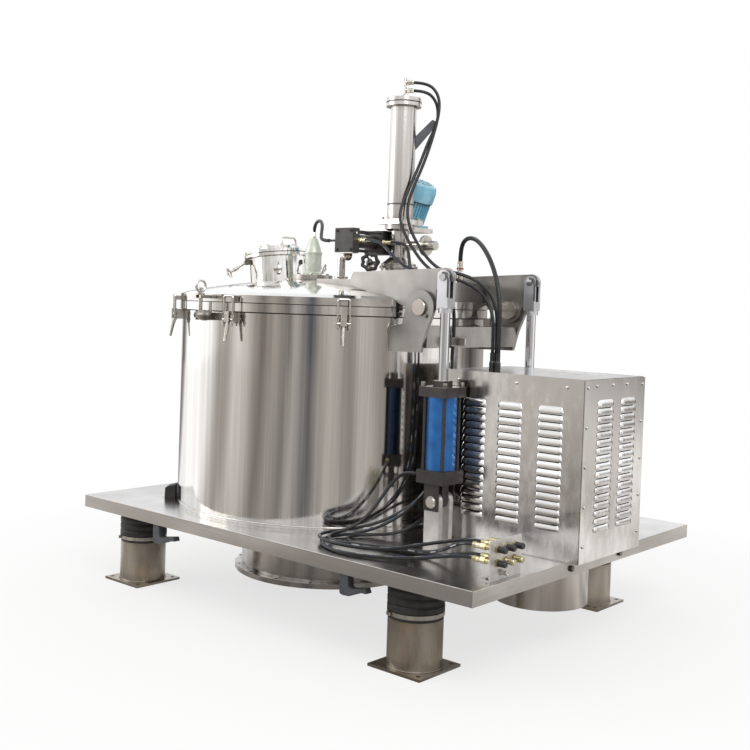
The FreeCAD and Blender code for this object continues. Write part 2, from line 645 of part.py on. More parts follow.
# Bulkhead plate with its couplings
bulk_x = plat_right - 40
bulk_low = -plat_half + 162
bulk_far = bulk_low + 222
plates = fuse("bulk_pair",
              block("bulk_plate", bulk_x, bulk_x + 5, bulk_low, bulk_far, d.platTop,
                    d.platTop + 164),
              block("bulk_foot", bulk_x - 46, bulk_x, bulk_low, bulk_far, d.platTop,
                    d.platTop + 5))
couplings, holes = [], []
for col in range(3):
    for row in range(2):
        yy = bulk_low + 44 + 62 * col
        zz = d.platTop + 72 + 56 * row
        couplings.append(rod("coupling", 13, d.couplingLong, bulk_x - d.couplingIn, yy, zz, "X"))
        holes.append(rod("bulk_hole", 13 + d.seat, 40, bulk_x - 20, yy, zz, "X"))
node("bulkhead", cut("bulkhead", plates, *holes))
node("couplings", group("couplings", *couplings))

# Scraper unit on the lid deck: housing with feed stub, column, motor and swing cylinder
bore = d.shaftRad + 3
hous_low = box_z + d.seat
ledge_x = col_x - d.ledgeOut
shaped = turned("hous_turned", (
    (bore, hous_low), (d.housFoot, hous_low), (d.housFoot, hous_low + 18),
    (d.housRad, hous_low + 24), (d.housRad, hous_low + 92), (d.neckOut, hous_low + 126),
    (d.neckOut, d.housTop - 34), (d.collarRad, d.housTop - 24), (d.collarRad, d.housTop),
    (bore, d.housTop)), col_x, 0)
stub_z = d.housTop - d.stubDrop
swing_x = col_x - d.swingIn
head = d.swingSide / 2
wheel_z = hous_low + 60
housing_set = [
    shaped,
    block("motor_ledge", ledge_x, col_x - 10, 40, d.ledgeBack, d.housTop - 24, d.housTop),
    block("swing_mount", swing_x + head + d.seat, col_x - bore, -18, 18, d.swingUp - 24,
          d.swingUp + 24),
    rod("feed_stub", d.stubRad, d.stubLong, col_x + d.neckOut - 8, 0, stub_z, "X"),
    rod("feed_flange", d.stubFlange, 14, col_x + d.stubLong - 30, 0, stub_z, "X")]
node("scraper_housing", cut("scraper_housing", fuse("hous_whole", *housing_set),
     rod("hous_bore", bore, 600, col_x, 0, box_z - 50), lid_form))
side = d.colBase / 2
col_low = d.housTop + d.colBaseThick
node("scraper_column", fuse("scraper_column",
     block("column_base", col_x - side, col_x + side, -side, side, d.housTop, col_low),
     rod("column_tube", d.colRad, d.colHigh, col_x, 0, col_low)))
cap_low = col_low + d.colHigh
cap_set = turned("cap_turned", (
    (0, cap_low), (d.colCapRad, cap_low), (d.colCapRad, cap_low + d.colCapThick),
    (d.colRad, cap_low + d.colCapThick), (26, cap_low + d.colCapThick + 15),
    (10, cap_low + d.colCapThick + 18), (10, d.tipTop), (0, d.tipTop)), col_x, 0)
unions = []
for drop in (22, 64):
    spot = rod("cap_union", 10, d.unionLong, col_x, 0, d.tipTop - drop)
    place(spot, col_x, 0, d.tipTop - drop, (-0.658, 0.753, 0), 90)
    unions.append(spot)
node("column_cap", fuse("column_cap", cap_set, *unions))
mot_x = tank_x + d.motAcross
mot_foot = block("motor_foot", ledge_x, mot_x + 90, 96, d.ledgeBack, d.housTop, d.housTop + 16)
motor_round = turned("motor_round", (
    (0, -20), (64, -20), (64, 30), (d.motRad - 12, 40), (d.motRad - 12, 158), (d.motRad, 164),
    (d.motRad, 236), (d.motRad - 22, d.motHigh), (0, d.motHigh)),
    mot_x, d.motBack, d.housTop + 16, (0, 1, 0), d.motLean)
node("swing_motor", cut("swing_motor", fuse("motor_whole", mot_foot, motor_round),
     block("motor_under", ledge_x - 50, mot_x + 200, 0, 400, d.housTop - 80, d.housTop)))
front_y, rear_y = -d.swingFront, d.swingRear * -1
swing_ties = []
for sx in (-1, 1):
    for sz in (-1, 1):
        swing_ties.append(rod("swing_tie", 5, d.swingFront - d.swingRear, swing_x + sx * (head - 14),
                              front_y, d.swingUp + sz * (head - 14), "Y"))
node("swing_cylinder", fuse("swing_cylinder",
     block("head_front", swing_x - head, swing_x + head, front_y - 25, front_y + 25,
           d.swingUp - head, d.swingUp + head),
     block("head_rear", swing_x - head, swing_x + head, rear_y - 66, rear_y + 26,
           d.swingUp - head, d.swingUp + head),
     rod("swing_tube", d.swingRad, d.swingFront - d.swingRear, swing_x, front_y, d.swingUp, "Y"),
     rod("swing_stub", 6, 60, swing_x - head - 60, front_y, d.swingUp, "X"), *swing_ties))
shaft_low = lid_z - d.shaftDrop
node("scraper_shaft", fuse("scraper_shaft",
     rod("shaft", d.shaftRad, d.housTop - shaft_low, col_x, 0, shaft_low),
     block("blade", col_x - 160, col_x - 10, -8, 8, shaft_low, shaft_low + d.bladeHigh)))

# Inspection port, leaning with the dome, and its hinged cover
port_top = d.portTall + d.portPlate
cover_low = port_top + d.portSeal


def on_port(name, *parts):
    return place(group(name, *parts), port_x, 0, port_z, (0, 1, 0), -6.5)


neck_blank = turned("port_blank", (
    (d.portRad - d.portWall, -60), (d.portRad, -60), (d.portRad, d.portTall),
    (d.portFlange, d.portTall), (d.portFlange, port_top),
    (d.portRad - d.portWall, port_top)))
hinge_out = d.portFlange + 26
hinge_up = cover_low + 8
ears = []
for s in (-1, 1):
    y0 = s * 38 - 6
    ears.append(block("port_ear", -hinge_out - 14, -d.portFlange + 1, y0, y0 + 12, d.portTall,
                      hinge_up + 14))
pivot = rod("port_pin", 7, 88, -hinge_out, -44, hinge_up, "Y")
lugs = cut("port_lugs", fuse("port_ears", neck_blank, pivot, *ears),
           rod("port_ring_clear", d.portRad - d.portWall, 400, 0, 0, -100))
node("port_neck", cut("port_neck", on_port("port_neck_set", lugs), lid_form))
seal_in, seal_out = d.portRad - 4, d.coverRad - 5
node("lid_gasket", group("lid_gasket", gasket, on_port("port_seal", turned("port_seal_ring", (
    (seal_in, port_top + d.seat), (seal_out, port_top + d.seat),
    (seal_out, cover_low - d.seat), (seal_in, cover_low - d.seat))))))
lid_plate = turned("port_plate", (
    (0, cover_low), (d.coverRad, cover_low), (d.coverRad, cover_low + 16),
    (d.glassRad, cover_low + 16), (d.glassRad, cover_low + 16 + d.glassHigh),
    (d.glassRad - 26, cover_low + 16 + d.glassHigh),
    (d.glassRad - 26, cover_low + 22), (0, cover_low + 22)))
knuckle = block("port_knuckle", -hinge_out - 13, -d.coverRad + 20, -30, 30, cover_low,
                cover_low + 16)
node("port_cover", on_port("port_cover", cut("port_cover_cut",
     fuse("port_cover_set", lid_plate, knuckle),
     rod("knuckle_bore", 7 + d.pinFit, 100, -hinge_out, -50, hinge_up, "Y"))))

# Lamp housing on its pad
lamp_x = tank_x - 96
lamp_y = -84
lamp_z = lid_z + apex
node("lamp_pad", cut("lamp_pad", rod("lamp_disc", d.lampPad, 60, lamp_x, lamp_y, lamp_z - 36),
                     lid_form))
node("lamp", turned("lamp", (
    (0, 0), (d.lampRad + 5, 0), (d.lampRad + 5, 12), (d.lampRad - 2, 18), (d.lampRad + 1, 120),
    (d.lampRad - 6, 150), (26, 190), (20, d.lampHigh), (0, d.lampHigh)),
    lamp_x, lamp_y, lamp_z + 24))

# Fittings where the lines begin and end: unions on the swing cylinder, a gland on the lid
# deck and three glands on the drive cover
union_a = swing_x + head
deck_gland = turned("deck_gland", (
    (0, 0), (28, 0), (28, 12), (20, 12), (20, 50), (14, 60), (14, d.glandHigh), (0, d.glandHigh)),
    tank_x + d.glandAcross, d.glandBack, box_z)
node("head_fittings", group("head_fittings",
     rod("union_front", 11, d.unionReach, union_a, front_y + 14, d.swingUp, "X"),
     rod("union_rear", 11, d.unionReach, union_a, rear_y - 58, d.swingUp, "X"), deck_gland))
cover_glands = []
for gx, gy in ((221, -181), (221, -211), (252, -211)):
    cover_glands.append(turned("cover_gland", (
        (0, 0), (14, 0), (14, 40), (11, 48), (11, 86), (0, 86)), cover_x + gx, gy, cover_top))
node("glands", group("glands", *cover_glands))

# Lines: the points were laid out between the fittings, and their ends follow the fittings
head_z = num(d.swingUp)
swing_end = num(union_a) + num(d.unionReach)
tip_x, tip_y, tip_z = 0.753 * num(d.unionLong), 0.658 * num(d.unionLong), num(d.tipTop)
col_0 = num(col_x)
couple_x = num(bulk_x) - num(d.couplingIn)
couple_y, couple_z = num(bulk_low) + 44, num(d.platTop) + 72
gland_x, gland_z = num(cover_x) + 221, num(cover_top) + 86
LINES = {
    "hose_column_upper": (8, ((76, 32, 2698), (131, 80, 2698), (175, 113, 2645), (188, 116, 2565),
        (177, 91, 2440), (156, 42, 2280), (134, -13, 2150), (123, -50, 2040), (160, -72, 1940),
        (238, -98, 1850), (330, -118, 1765), (425, -132, 1712), (540, -145, 1700),
        (655, -158, 1668), (745, -170, 1612), (792, -178, 1530), (800, -181, 1420),
        (800, -181, 1330))),
    "hose_column_lower": (8, ((76, 32, 2656), (125, 74, 2656), (158, 114, 2615), (172, 126, 2546),
        (168, 112, 2470), (152, 78, 2400), (131, 24, 2250), (112, -43, 2110), (112, -100, 2000),
        (158, -114, 1912), (235, -128, 1822), (330, -150, 1740), (430, -165, 1690),
        (545, -176, 1672), (655, -186, 1640), (745, -196, 1582), (794, -206, 1500),
        (800, -211, 1410), (800, -211, 1330))),
    "conduit_deck": (11, ((385, 75, 1768), (385, 75, 1828), (422, 51, 1874), (505, 0, 1884),
        (610, -70, 1850), (715, -140, 1775), (785, -180, 1680), (826, -203, 1570),
        (831, -211, 1448), (831, -211, 1330))),
    "conduit_lamp": (9, ((-506, -84, 1888), (-506, -84, 1938), (-476, -98, 1976),
        (-415, -128, 1982), (-352, -176, 1950), (-306, -232, 1898), (-262, -276, 1859),
        (-200, -276, 1859))),
    "hose_swing_front": (8, ((40, -262, 1859), (100, -262, 1859), (168, -264, 1828),
        (240, -278, 1768), (320, -284, 1722), (410, -280, 1702), (500, -262, 1684),
        (562, -238, 1625), (578, -222, 1530), (572, -212, 1420), (563, -206, 1300),
        (560, -199, 1170), (549, -203, 1040), (544, -206, 910), (528, -216, 790),
        (508, -250, 690), (472, -320, 600), (432, -400, 535), (385, -480, 490), (330, -565, 463),
        (275, -650, 454), (262, -740, 454), (318, -820, 454), (410, -872, 454), (520, -890, 454),
        (635, -860, 454), (750, -808, 458), (860, -770, 472), (970, -748, 498), (1060, -744, 517),
        (1110, -744, 517))),
    "hose_swing_rear": (8, ((40, -62, 1859), (100, -62, 1859), (168, -90, 1836),
        (232, -150, 1784), (300, -225, 1712), (390, -245, 1684), (482, -235, 1664),
        (545, -214, 1610), (560, -196, 1520), (556, -186, 1420), (547, -182, 1300),
        (542, -176, 1170), (529, -180, 1040), (524, -183, 910), (515, -195, 790),
        (497, -232, 690), (460, -300, 604), (415, -378, 545), (365, -462, 505), (306, -545, 480),
        (262, -625, 472), (240, -710, 470), (278, -795, 474), (368, -850, 478), (480, -852, 474),
        (595, -818, 474), (700, -770, 482), (800, -722, 510), (900, -690, 536), (995, -682, 562),
        (1060, -682, 573), (1110, -682, 573))),
    "hose_lift_front": (8, ((530, -395, 751), (474, -395, 751), (418, -404, 726),
        (384, -434, 668), (364, -492, 590), (340, -562, 518), (300, -640, 478), (290, -720, 472),
        (335, -790, 470), (420, -815, 472), (520, -790, 474), (620, -745, 474), (720, -705, 478),
        (820, -700, 478), (925, -725, 508), (1012, -742, 552), (1065, -744, 573),
        (1110, -744, 573))),
    "hose_lift_rear": (8, ((530, 398, 751), (472, 398, 751), (423, 366, 739), (402, 313, 720),
        (423, 240, 694), (456, 150, 662), (480, 60, 632), (494, -30, 608), (504, -140, 585),
        (516, -240, 560), (522, -335, 528), (508, -424, 490), (460, -488, 466), (382, -530, 458),
        (332, -592, 456), (344, -672, 456), (398, -716, 456), (485, -722, 454), (580, -698, 452),
        (680, -664, 454), (780, -650, 457), (880, -650, 468), (980, -668, 498), (1065, -682, 517),
        (1110, -682, 517))),
}
line_ends = {
    "hose_column_upper": ((col_0 + tip_x, tip_y, tip_z - 22), (gland_x, -181, gland_z)),
    "hose_column_lower": ((col_0 + tip_x, tip_y, tip_z - 64), (gland_x, -211, gland_z)),
    "conduit_deck": ((num(tank_x) + num(d.glandAcross), num(d.glandBack),
                      num(box_z) + num(d.glandHigh)), (gland_x + 31, -211, gland_z)),
    "conduit_lamp": ((num(lamp_x), num(lamp_y), num(lamp_z) + 24 + num(d.lampHigh)),
                     (num(swing_x) - num(head) - 60, num(front_y), head_z)),
    "hose_swing_front": ((swing_end, num(front_y) + 14, head_z), (couple_x, couple_y, couple_z)),
    "hose_swing_rear": ((swing_end, num(rear_y) - 58, head_z),
                        (couple_x, couple_y + 62, couple_z + 56)),
    "hose_lift_front": (tuple(lift_ends[0]), (couple_x, couple_y, couple_z + 56)),
    "hose_lift_rear": (tuple(lift_ends[1]), (couple_x, couple_y + 62, couple_z)),
}
for name, (radius, spots) in LINES.items():
    first, last = line_ends[name]
    off_a = Vector(*first) - Vector(*spots[0])
    off_b = Vector(*last) - Vector(*spots[-1])
    moved = []
    for i, spot in enumerate(spots):
        share = min(max((i - 1) / (len(spots) - 3), 0), 1)
        moved.append(tuple(Vector(*spot) + off_a * (1 - share) + off_b * share))
    solid, length, radii = bend(moved, radius)
    line = doc.addObject("Part::Feature", name)
    line.Shape = solid
    node(name, line)
    print("%-18s section %4.0f  length %7.1f  volume/(area x length) %.4f  bends %s" % (
        name, radius * 2, length, solid.Volume / (math.pi * radius ** 2 * length),
        " ".join("%.0f" % r for r in radii)))

# Toggle clamps round the rim: lever on a casing lug, bail over a hook on the lid
lugs, hooks, levers, far_bails = [], [], [], []
seen_bails = {5: "bail_left", 6: "bail_middle", 7: "bail_right"}
axis_z = d.platTop + d.clampUp
bar_z = lid_z + d.bailTop


def at_rim(name, angle, *parts):
    # Parts drawn with +X outwards from the tank axis, turned to their place
    return place(group(name, *parts), tank_x, 0, 0, (0, 0, 1), angle)


def swept_bail(reach, low, high, wide, thick):
    half = wide / 2 - thick
    bow = thick * 1.6
    spots = (Vector(reach, -half, low), Vector(reach, -half, high - bow),
             Vector(reach, -half + bow, high), Vector(reach, half - bow, high),
             Vector(reach, half, high - bow), Vector(reach, half, low))
    corner = bow * (1 - math.sqrt(0.5))
    turns = (Vector(reach, -half + corner, high - corner), Vector(reach, half - corner, high - corner))
    path = Part.Wire([
        Part.LineSegment(spots[0], spots[1]).toShape(),
        Part.Arc(spots[1], turns[0], spots[2]).toShape(),
        Part.LineSegment(spots[2], spots[3]).toShape(),
        Part.Arc(spots[3], turns[1], spots[4]).toShape(),
        Part.LineSegment(spots[4], spots[5]).toShape()])
    ring = Part.Wire(Part.Circle(spots[0], Vector(0, 0, 1), thick).toShape())
    return path.makePipeShell([ring], True, True)


for k in range(8):
    turn = 180 + num(d.clampStep) * (k - 3.5)
    reach = d.rimRad + d.clampOut
    lugs.append(at_rim("lug_set", turn,
                       block("clamp_lug", d.tankRad + d.seat, reach - 13, -16, 16, axis_z - 14,
                             axis_z + 38)))
    hooks.append(at_rim("hook_set", turn,
                        block("lid_hook", d.rimRad + d.seat,
                              reach - (d.hookGap if k in seen_bails else d.hookFar), -18, 18,
                              lid_z + 1, bar_z - d.bailRod - d.seat)))
    lever = cut("lever", block("lever_head", reach - 13, reach + 13, -15, 15, axis_z - 12,
                               axis_z + 40),
                rod("lever_bore", 7 + d.pinFit, 60, reach, -30, axis_z, "Y"))
    grip = cone("lever_grip", 10, 7.5, d.leverLong, reach, 0, axis_z - d.gripDrop)
    place(grip, reach, 0, axis_z - d.gripDrop, (0, 1, 0), 180 - d.gripLean)
    levers.append(at_rim("lever_set", turn, fuse("lever_whole", lever, grip)))
    bow = doc.addObject("Part::Feature", fresh("bail"))
    bow.Shape = swept_bail(num(reach), num(axis_z) - 34, num(bar_z), num(d.bailWide),
                           num(d.bailRod))
    bits = [bow, rod("bail_cross", 7, d.bailWide - 2, reach, -(d.bailWide / 2 - 1), axis_z, "Y")]
    for s in (-1, 1):
        for low in (9, -21):
            bits.append(rod("bail_nut", 10, 12, reach, s * (d.bailWide / 2 - d.bailRod),
                            axis_z + low))
    bail = at_rim("bail_set", turn, fuse("bail_whole", *bits))
    if k in seen_bails:
        node(seen_bails[k], bail)
    else:
        far_bails.append(bail)
node("far_bails", group("far_bails", *far_bails))
node("clamp_levers", group("clamp_levers", *levers))

# Ring-nut swing bolt: pinned in a casing lug, through a forked lug on the lid
ring_turn = d.ringTurn
ring_reach = d.rimRad + d.ringOut
half_lug = 30
lug = fuse("ring_lug",
          block("ring_cheek", d.tankRad + d.seat, ring_reach + 16, -24, -12, axis_z - 8,
                axis_z + 30),
          block("ring_cheek", d.tankRad + d.seat, ring_reach + 16, 12, 24, axis_z - 8,
                axis_z + 30),
          block("ring_web", d.tankRad + d.seat, ring_reach - 30, -24, 24, axis_z - 8,
                axis_z + 30),
          rod("ring_pin", 8, 60, ring_reach, -30, axis_z + 10, "Y"))
lugs.append(at_rim("ring_lug_set", ring_turn, lug))
hooks.append(at_rim("ring_fork_set", ring_turn, cut("ring_fork",
     block("ring_plate", d.rimRad + d.seat, ring_reach + 18, -24, 24, lid_z + 14, lid_z + 30),
     block("ring_slot", ring_reach - 14, ring_reach + 60, -13, 13, lid_z, lid_z + 60))))
node("clamp_lugs", group("clamp_lugs", *lugs))
node("lid_hooks", group("lid_hooks", *hooks))
bolt = fuse("ring_bolt_whole",
            rod("ring_bolt", 10, lid_z + 66 - axis_z, ring_reach, 0, axis_z),
            rod("ring_washer", 20, 9, ring_reach, 0, lid_z + 30 + d.seat))
ring = doc.addObject("Part::Torus", "ring_nut")
ring.Radius1, ring.Radius2 = 28, 6
place(ring, ring_reach, 0, lid_z + 30 + 9 + 34, (1, 0, 0), 90)
whole = cut("ring_bolt_bored", fuse("ring_bolt_ringed", bolt, ring),
            rod("ring_bolt_bore", 8 + d.pinFit, 60, ring_reach, -30, axis_z + 10, "Y"))
node("ring_bolt", at_rim("ring_bolt_set", ring_turn, whole))

doc.recompute()

# Every object and every exported shape is checked before anything is written
bad = [o.Name for o in doc.Objects if "Invalid" in o.State or "Error" in o.State]
for name, obj in nodes:
    if obj.Shape.isNull() or not obj.Shape.isValid() or not obj.Shape.Solids:
        bad.append(name)
if bad:
    raise RuntimeError("not sound: " + ", ".join(bad))
os.makedirs("parts", exist_ok=True)
for name, obj in nodes:
    obj.Shape.exportStep("parts/%s.step" % name)
    box = obj.Shape.BoundBox
    print("%-18s %2d solids  x %8.1f %8.1f  y %7.1f %7.1f  z %7.1f %7.1f" % (
        name, len(obj.Shape.Solids), box.XMin, box.XMax, box.YMin, box.YMax, box.ZMin, box.ZMax))
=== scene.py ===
# %% [markdown]
# # A scraper centrifuge, dressed in Blender
#
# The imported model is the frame: every piece already stands in metres where the machine has it.
# This lesson sets the camera, hangs the hoses, gives each metal its finish and adds the small
# hardware that a drawing leaves to the fitter.

# %% Load the frame
import math
import bpy
import bmesh
from mathutils import Matrix, Vector


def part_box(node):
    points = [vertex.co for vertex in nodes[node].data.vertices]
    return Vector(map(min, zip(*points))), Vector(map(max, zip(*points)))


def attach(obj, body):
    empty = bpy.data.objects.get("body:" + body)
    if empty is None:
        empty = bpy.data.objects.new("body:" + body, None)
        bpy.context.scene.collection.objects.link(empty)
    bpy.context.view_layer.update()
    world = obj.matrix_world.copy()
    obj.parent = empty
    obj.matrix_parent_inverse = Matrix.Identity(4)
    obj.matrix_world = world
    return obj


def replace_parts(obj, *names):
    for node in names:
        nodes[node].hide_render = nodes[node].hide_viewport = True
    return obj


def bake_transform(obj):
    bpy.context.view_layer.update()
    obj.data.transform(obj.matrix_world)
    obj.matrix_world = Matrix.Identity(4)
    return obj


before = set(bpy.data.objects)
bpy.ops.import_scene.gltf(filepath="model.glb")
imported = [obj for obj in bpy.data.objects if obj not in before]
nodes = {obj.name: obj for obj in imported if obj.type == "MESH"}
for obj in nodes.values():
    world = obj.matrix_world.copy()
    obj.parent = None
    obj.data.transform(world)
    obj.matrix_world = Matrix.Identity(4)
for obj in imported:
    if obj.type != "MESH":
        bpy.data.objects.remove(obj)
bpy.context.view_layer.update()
print("pieces in the frame:", len(nodes))

# %% [markdown]
# ## The camera
#
# The machine was photographed from the right front, at standing eye height, with a normal lens.
# The place and the three turns below were solved from the platform's corners, the round casing
# and the feet, so the picture's perspective is the photograph's.

# %% Set the camera
picture = 750
eye = Vector((3.5949, -4.2589, 1.5424))
yaw, pitch, roll = (math.radians(a) for a in (131.168, -1.777, 1.892))
forward = Vector((math.cos(pitch) * math.cos(yaw), math.cos(pitch) * math.sin(yaw), math.sin(pitch)))
level = Vector((math.sin(yaw), -math.cos(yaw), 0.0))
upright = level.cross(forward)
right = math.cos(roll) * level + math.sin(roll) * upright
up = math.cos(roll) * upright - math.sin(roll) * level
focal, middle_x, middle_y = 1055.8, 371.98, 335.75
lens = bpy.data.cameras.new("photo_camera")
lens.sensor_width = 36.0
lens.lens = focal / picture * lens.sensor_width
lens.shift_x = (picture / 2 - middle_x) / picture
lens.shift_y = (middle_y - picture / 2) / picture
lens.clip_end = 100
camera = bpy.data.objects.new("photo_camera", lens)
turn = Matrix((right, up, -forward)).transposed().to_4x4()
camera.matrix_world = Matrix.Translation(eye) @ turn
bpy.context.scene.collection.objects.link(camera)
bpy.context.scene.camera = camera
print("lens", round(lens.lens, 2), "mm, shift", round(lens.shift_x, 4), round(lens.shift_y, 4))

# %% [markdown]
# ## The hoses and conduits
#
# Eight lines leave the lid and the lift cylinders. Each one runs through the route's points as
# a NURBS spline, so it bends as smoothly as hydraulic hose does, and a round skin is wrapped
# along the points that the spline gives. A line that crosses a hinge stays fixed where it lies;
# a line that stays on the lid rides on the lid. The points are in millimetres, as the drawing has them.

# %% Lay the lines
routes = {
    "hose_column_upper": (16, "medium", ("lid", (0.8, -0.18, 1.42), (0.4, -0.13, 1.72)), None, [
        (76, 32, 2698), (131, 80, 2698), (175, 113, 2645), (188, 116, 2565), (177, 91, 2440),
        (156, 42, 2280), (134, -13, 2150), (123, -50, 2040), (160, -72, 1940), (238, -98, 1850),
        (330, -118, 1765), (425, -132, 1712), (540, -145, 1700), (655, -158, 1668),
        (745, -170, 1612), (792, -178, 1530), (800, -181, 1420), (800, -181, 1330)]),
    "hose_column_lower": (16, "medium", ("lid", (0.8, -0.21, 1.41), (0.4, -0.16, 1.7)), None, [
        (76, 32, 2656), (125, 74, 2656), (158, 114, 2615), (172, 126, 2546), (168, 112, 2470),
        (152, 78, 2400), (131, 24, 2250), (112, -43, 2110), (112, -100, 2000), (158, -114, 1912),
        (235, -128, 1822), (330, -150, 1740), (430, -165, 1690), (545, -176, 1672),
        (655, -186, 1640), (745, -196, 1582), (794, -206, 1500), (800, -211, 1410),
        (800, -211, 1330)]),
    "conduit_deck": (22, "limp", ("lid", (0.83, -0.21, 1.42), (0.43, 0.03, 1.8)), None, [
        (385, 75, 1768), (385, 75, 1828), (422, 51, 1874), (505, 0, 1884), (610, -70, 1850),
        (715, -140, 1775), (785, -180, 1680), (826, -203, 1570), (831, -211, 1448),
        (831, -211, 1330)]),
    "conduit_lamp": (18, "limp", None, "lid", [
        (-506, -84, 1888), (-506, -84, 1938), (-476, -98, 1976), (-415, -128, 1982),
        (-352, -176, 1950), (-306, -232, 1898), (-262, -276, 1859), (-200, -276, 1859)]),
    "hose_swing_front": (16, "medium", ("lid", (0.56, -0.2, 1.25), (0.4, -0.28, 1.72)), None, [
        (40, -262, 1859), (100, -262, 1859), (168, -264, 1828), (240, -278, 1768),
        (320, -284, 1722), (410, -280, 1702), (500, -262, 1684), (562, -238, 1625),
        (578, -222, 1530), (572, -212, 1420), (563, -206, 1300), (560, -199, 1170),
        (549, -203, 1040), (544, -206, 910), (528, -216, 790), (508, -250, 690), (472, -320, 600),
        (432, -400, 535), (385, -480, 490), (330, -565, 463), (275, -650, 454), (262, -740, 454),
        (318, -820, 454), (410, -872, 454), (520, -890, 454), (635, -860, 454), (750, -808, 458),
        (860, -770, 472), (970, -748, 498), (1060, -744, 517), (1110, -744, 517)]),
    "hose_swing_rear": (16, "medium", ("lid", (0.55, -0.18, 1.25), (0.38, -0.24, 1.7)), None, [
        (40, -62, 1859), (100, -62, 1859), (168, -90, 1836), (232, -150, 1784), (300, -225, 1712),
        (390, -245, 1684), (482, -235, 1664), (545, -214, 1610), (560, -196, 1520),
        (556, -186, 1420), (547, -182, 1300), (542, -176, 1170), (529, -180, 1040),
        (524, -183, 910), (515, -195, 790), (497, -232, 690), (460, -300, 604), (415, -378, 545),
        (365, -462, 505), (306, -545, 480), (262, -625, 472), (240, -710, 470), (278, -795, 474),
        (368, -850, 478), (480, -852, 474), (595, -818, 474), (700, -770, 482), (800, -722, 510),
        (900, -690, 536), (995, -682, 562), (1060, -682, 573), (1110, -682, 573)]),
    "hose_lift_front": (16, "medium", ("barrel_front", (0.34, -0.6, 0.5), (0.5, -0.4, 0.74)), None, [
        (530, -395, 751), (474, -395, 751), (418, -404, 726), (384, -434, 668), (364, -492, 590),
        (340, -562, 518), (300, -640, 478), (290, -720, 472), (335, -790, 470), (420, -815, 472),
        (520, -790, 474), (620, -745, 474), (720, -705, 478), (820, -700, 478), (925, -725, 508),
        (1012, -742, 552), (1065, -744, 573), (1110, -744, 573)]),
    "hose_lift_rear": (16, "medium", ("barrel_rear", (0.49, 0.06, 0.63), (0.5, 0.398, 0.75)), None, [
        (530, 398, 751), (472, 398, 751), (423, 366, 739), (402, 313, 720), (423, 240, 694),
        (456, 150, 662), (480, 60, 632), (494, -30, 608), (504, -140, 585), (516, -240, 560),
        (522, -335, 528), (508, -424, 490), (460, -488, 466), (382, -530, 458), (332, -592, 456),
        (344, -672, 456), (398, -716, 456), (485, -722, 454), (580, -698, 452), (680, -664, 454),
        (780, -650, 457), (880, -650, 468), (980, -668, 498), (1065, -682, 517),
        (1110, -682, 517)]),
}


def spline_points(name, spots):
    """The smooth line through a route, as the points of its NURBS spline."""
    data = bpy.data.curves.new(name + "_route", "CURVE")
    data.dimensions = "3D"
    data.resolution_u = 8
    line = data.splines.new("NURBS")
    line.points.add(len(spots) - 1)
    for point, spot in zip(line.points, spots):
        point.co = (spot[0] / 1000, spot[1] / 1000, spot[2] / 1000, 1.0)
    line.order_u = 3
    line.use_endpoint_u = True
    holder = bpy.data.objects.new(name + "_route", data)
    bpy.context.scene.collection.objects.link(holder)
    bpy.context.view_layer.update()
    drawn = bpy.data.meshes.new_from_object(holder)
    points = [vertex.co.copy() for vertex in drawn.vertices]
    bpy.data.objects.remove(holder)
    bpy.data.meshes.remove(drawn)
    return points


def skin_along(name, points, radius, sides=14):
    """A round tube along points, with metres of length as U and the way round as V."""
    rings, uv_rows, run = [], [], 0.0
    side = None
    for i, point in enumerate(points):
        before, after = points[max(i - 1, 0)], points[min(i + 1, len(points) - 1)]
        along = (after - before).normalized()
        if side is None:
            side = along.orthogonal().normalized()
        side = (side - along * side.dot(along)).normalized()
        other = along.cross(side)
        if i:
            run += (point - points[i - 1]).length
        uv_rows.append(run)
        rings.append([point + radius * (math.cos(a) * side + math.sin(a) * other)
                      for a in (2 * math.pi * k / sides for k in range(sides))])
    verts = [v for ring in rings for v in ring]
    faces, uvs = [], []
    for i in range(len(rings) - 1):
        for k in range(sides):
            nxt = (k + 1) % sides
            faces.append((i * sides + k, i * sides + nxt, (i + 1) * sides + nxt, (i + 1) * sides + k))
            uvs += [(uv_rows[i], k / sides), (uv_rows[i], (k + 1) / sides),
                    (uv_rows[i + 1], (k + 1) / sides), (uv_rows[i + 1], k / sides)]
    faces += [tuple(range(sides))[::-1], tuple((len(rings) - 1) * sides + k for k in range(sides))]
    uvs += [(0.0, 0.0)] * sides + [(run, 0.0)] * sides
    mesh = bpy.data.meshes.new(name)
    mesh.from_pydata(verts, [], faces)
    layer = mesh.uv_layers.new(name="along")
    for slot, uv in zip(layer.data, uvs):
        slot.uv = uv
    mesh.shade_smooth()
    made = bpy.data.objects.new(name, mesh)
    bpy.context.scene.collection.objects.link(made)
    return made, run


lines = {}
for name, (diameter, stiffness, frame_end, lid_end, spots) in routes.items():
    points = spline_points(name, spots)
    made, run = skin_along(name + "_skin", points, diameter / 2000)
    lines[name] = made
    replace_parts(made, name)
    if frame_end is None:
        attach(made, lid_end)
    else:
        other, start, end = frame_end
        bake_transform(made)
    print(name, round(run, 3), "m")

# %% [markdown]
# ## One helper for colours and one for nodes
#
# Paint charts and photographs give colours as sRGB hex values, while Cycles mixes linear light,
# so one function turns the one into the other. A second adds a node with its settings and its
# links, and every material below is written with it.

# %% Helpers for materials
def linear(code):
    """sRGB hex to linear RGBA."""
    parts = [int(code[i:i + 2], 16) / 255 for i in (1, 3, 5)]
    return [c / 12.92 if c <= 0.04045 else ((c + 0.055) / 1.055) ** 2.4 for c in parts] + [1.0]


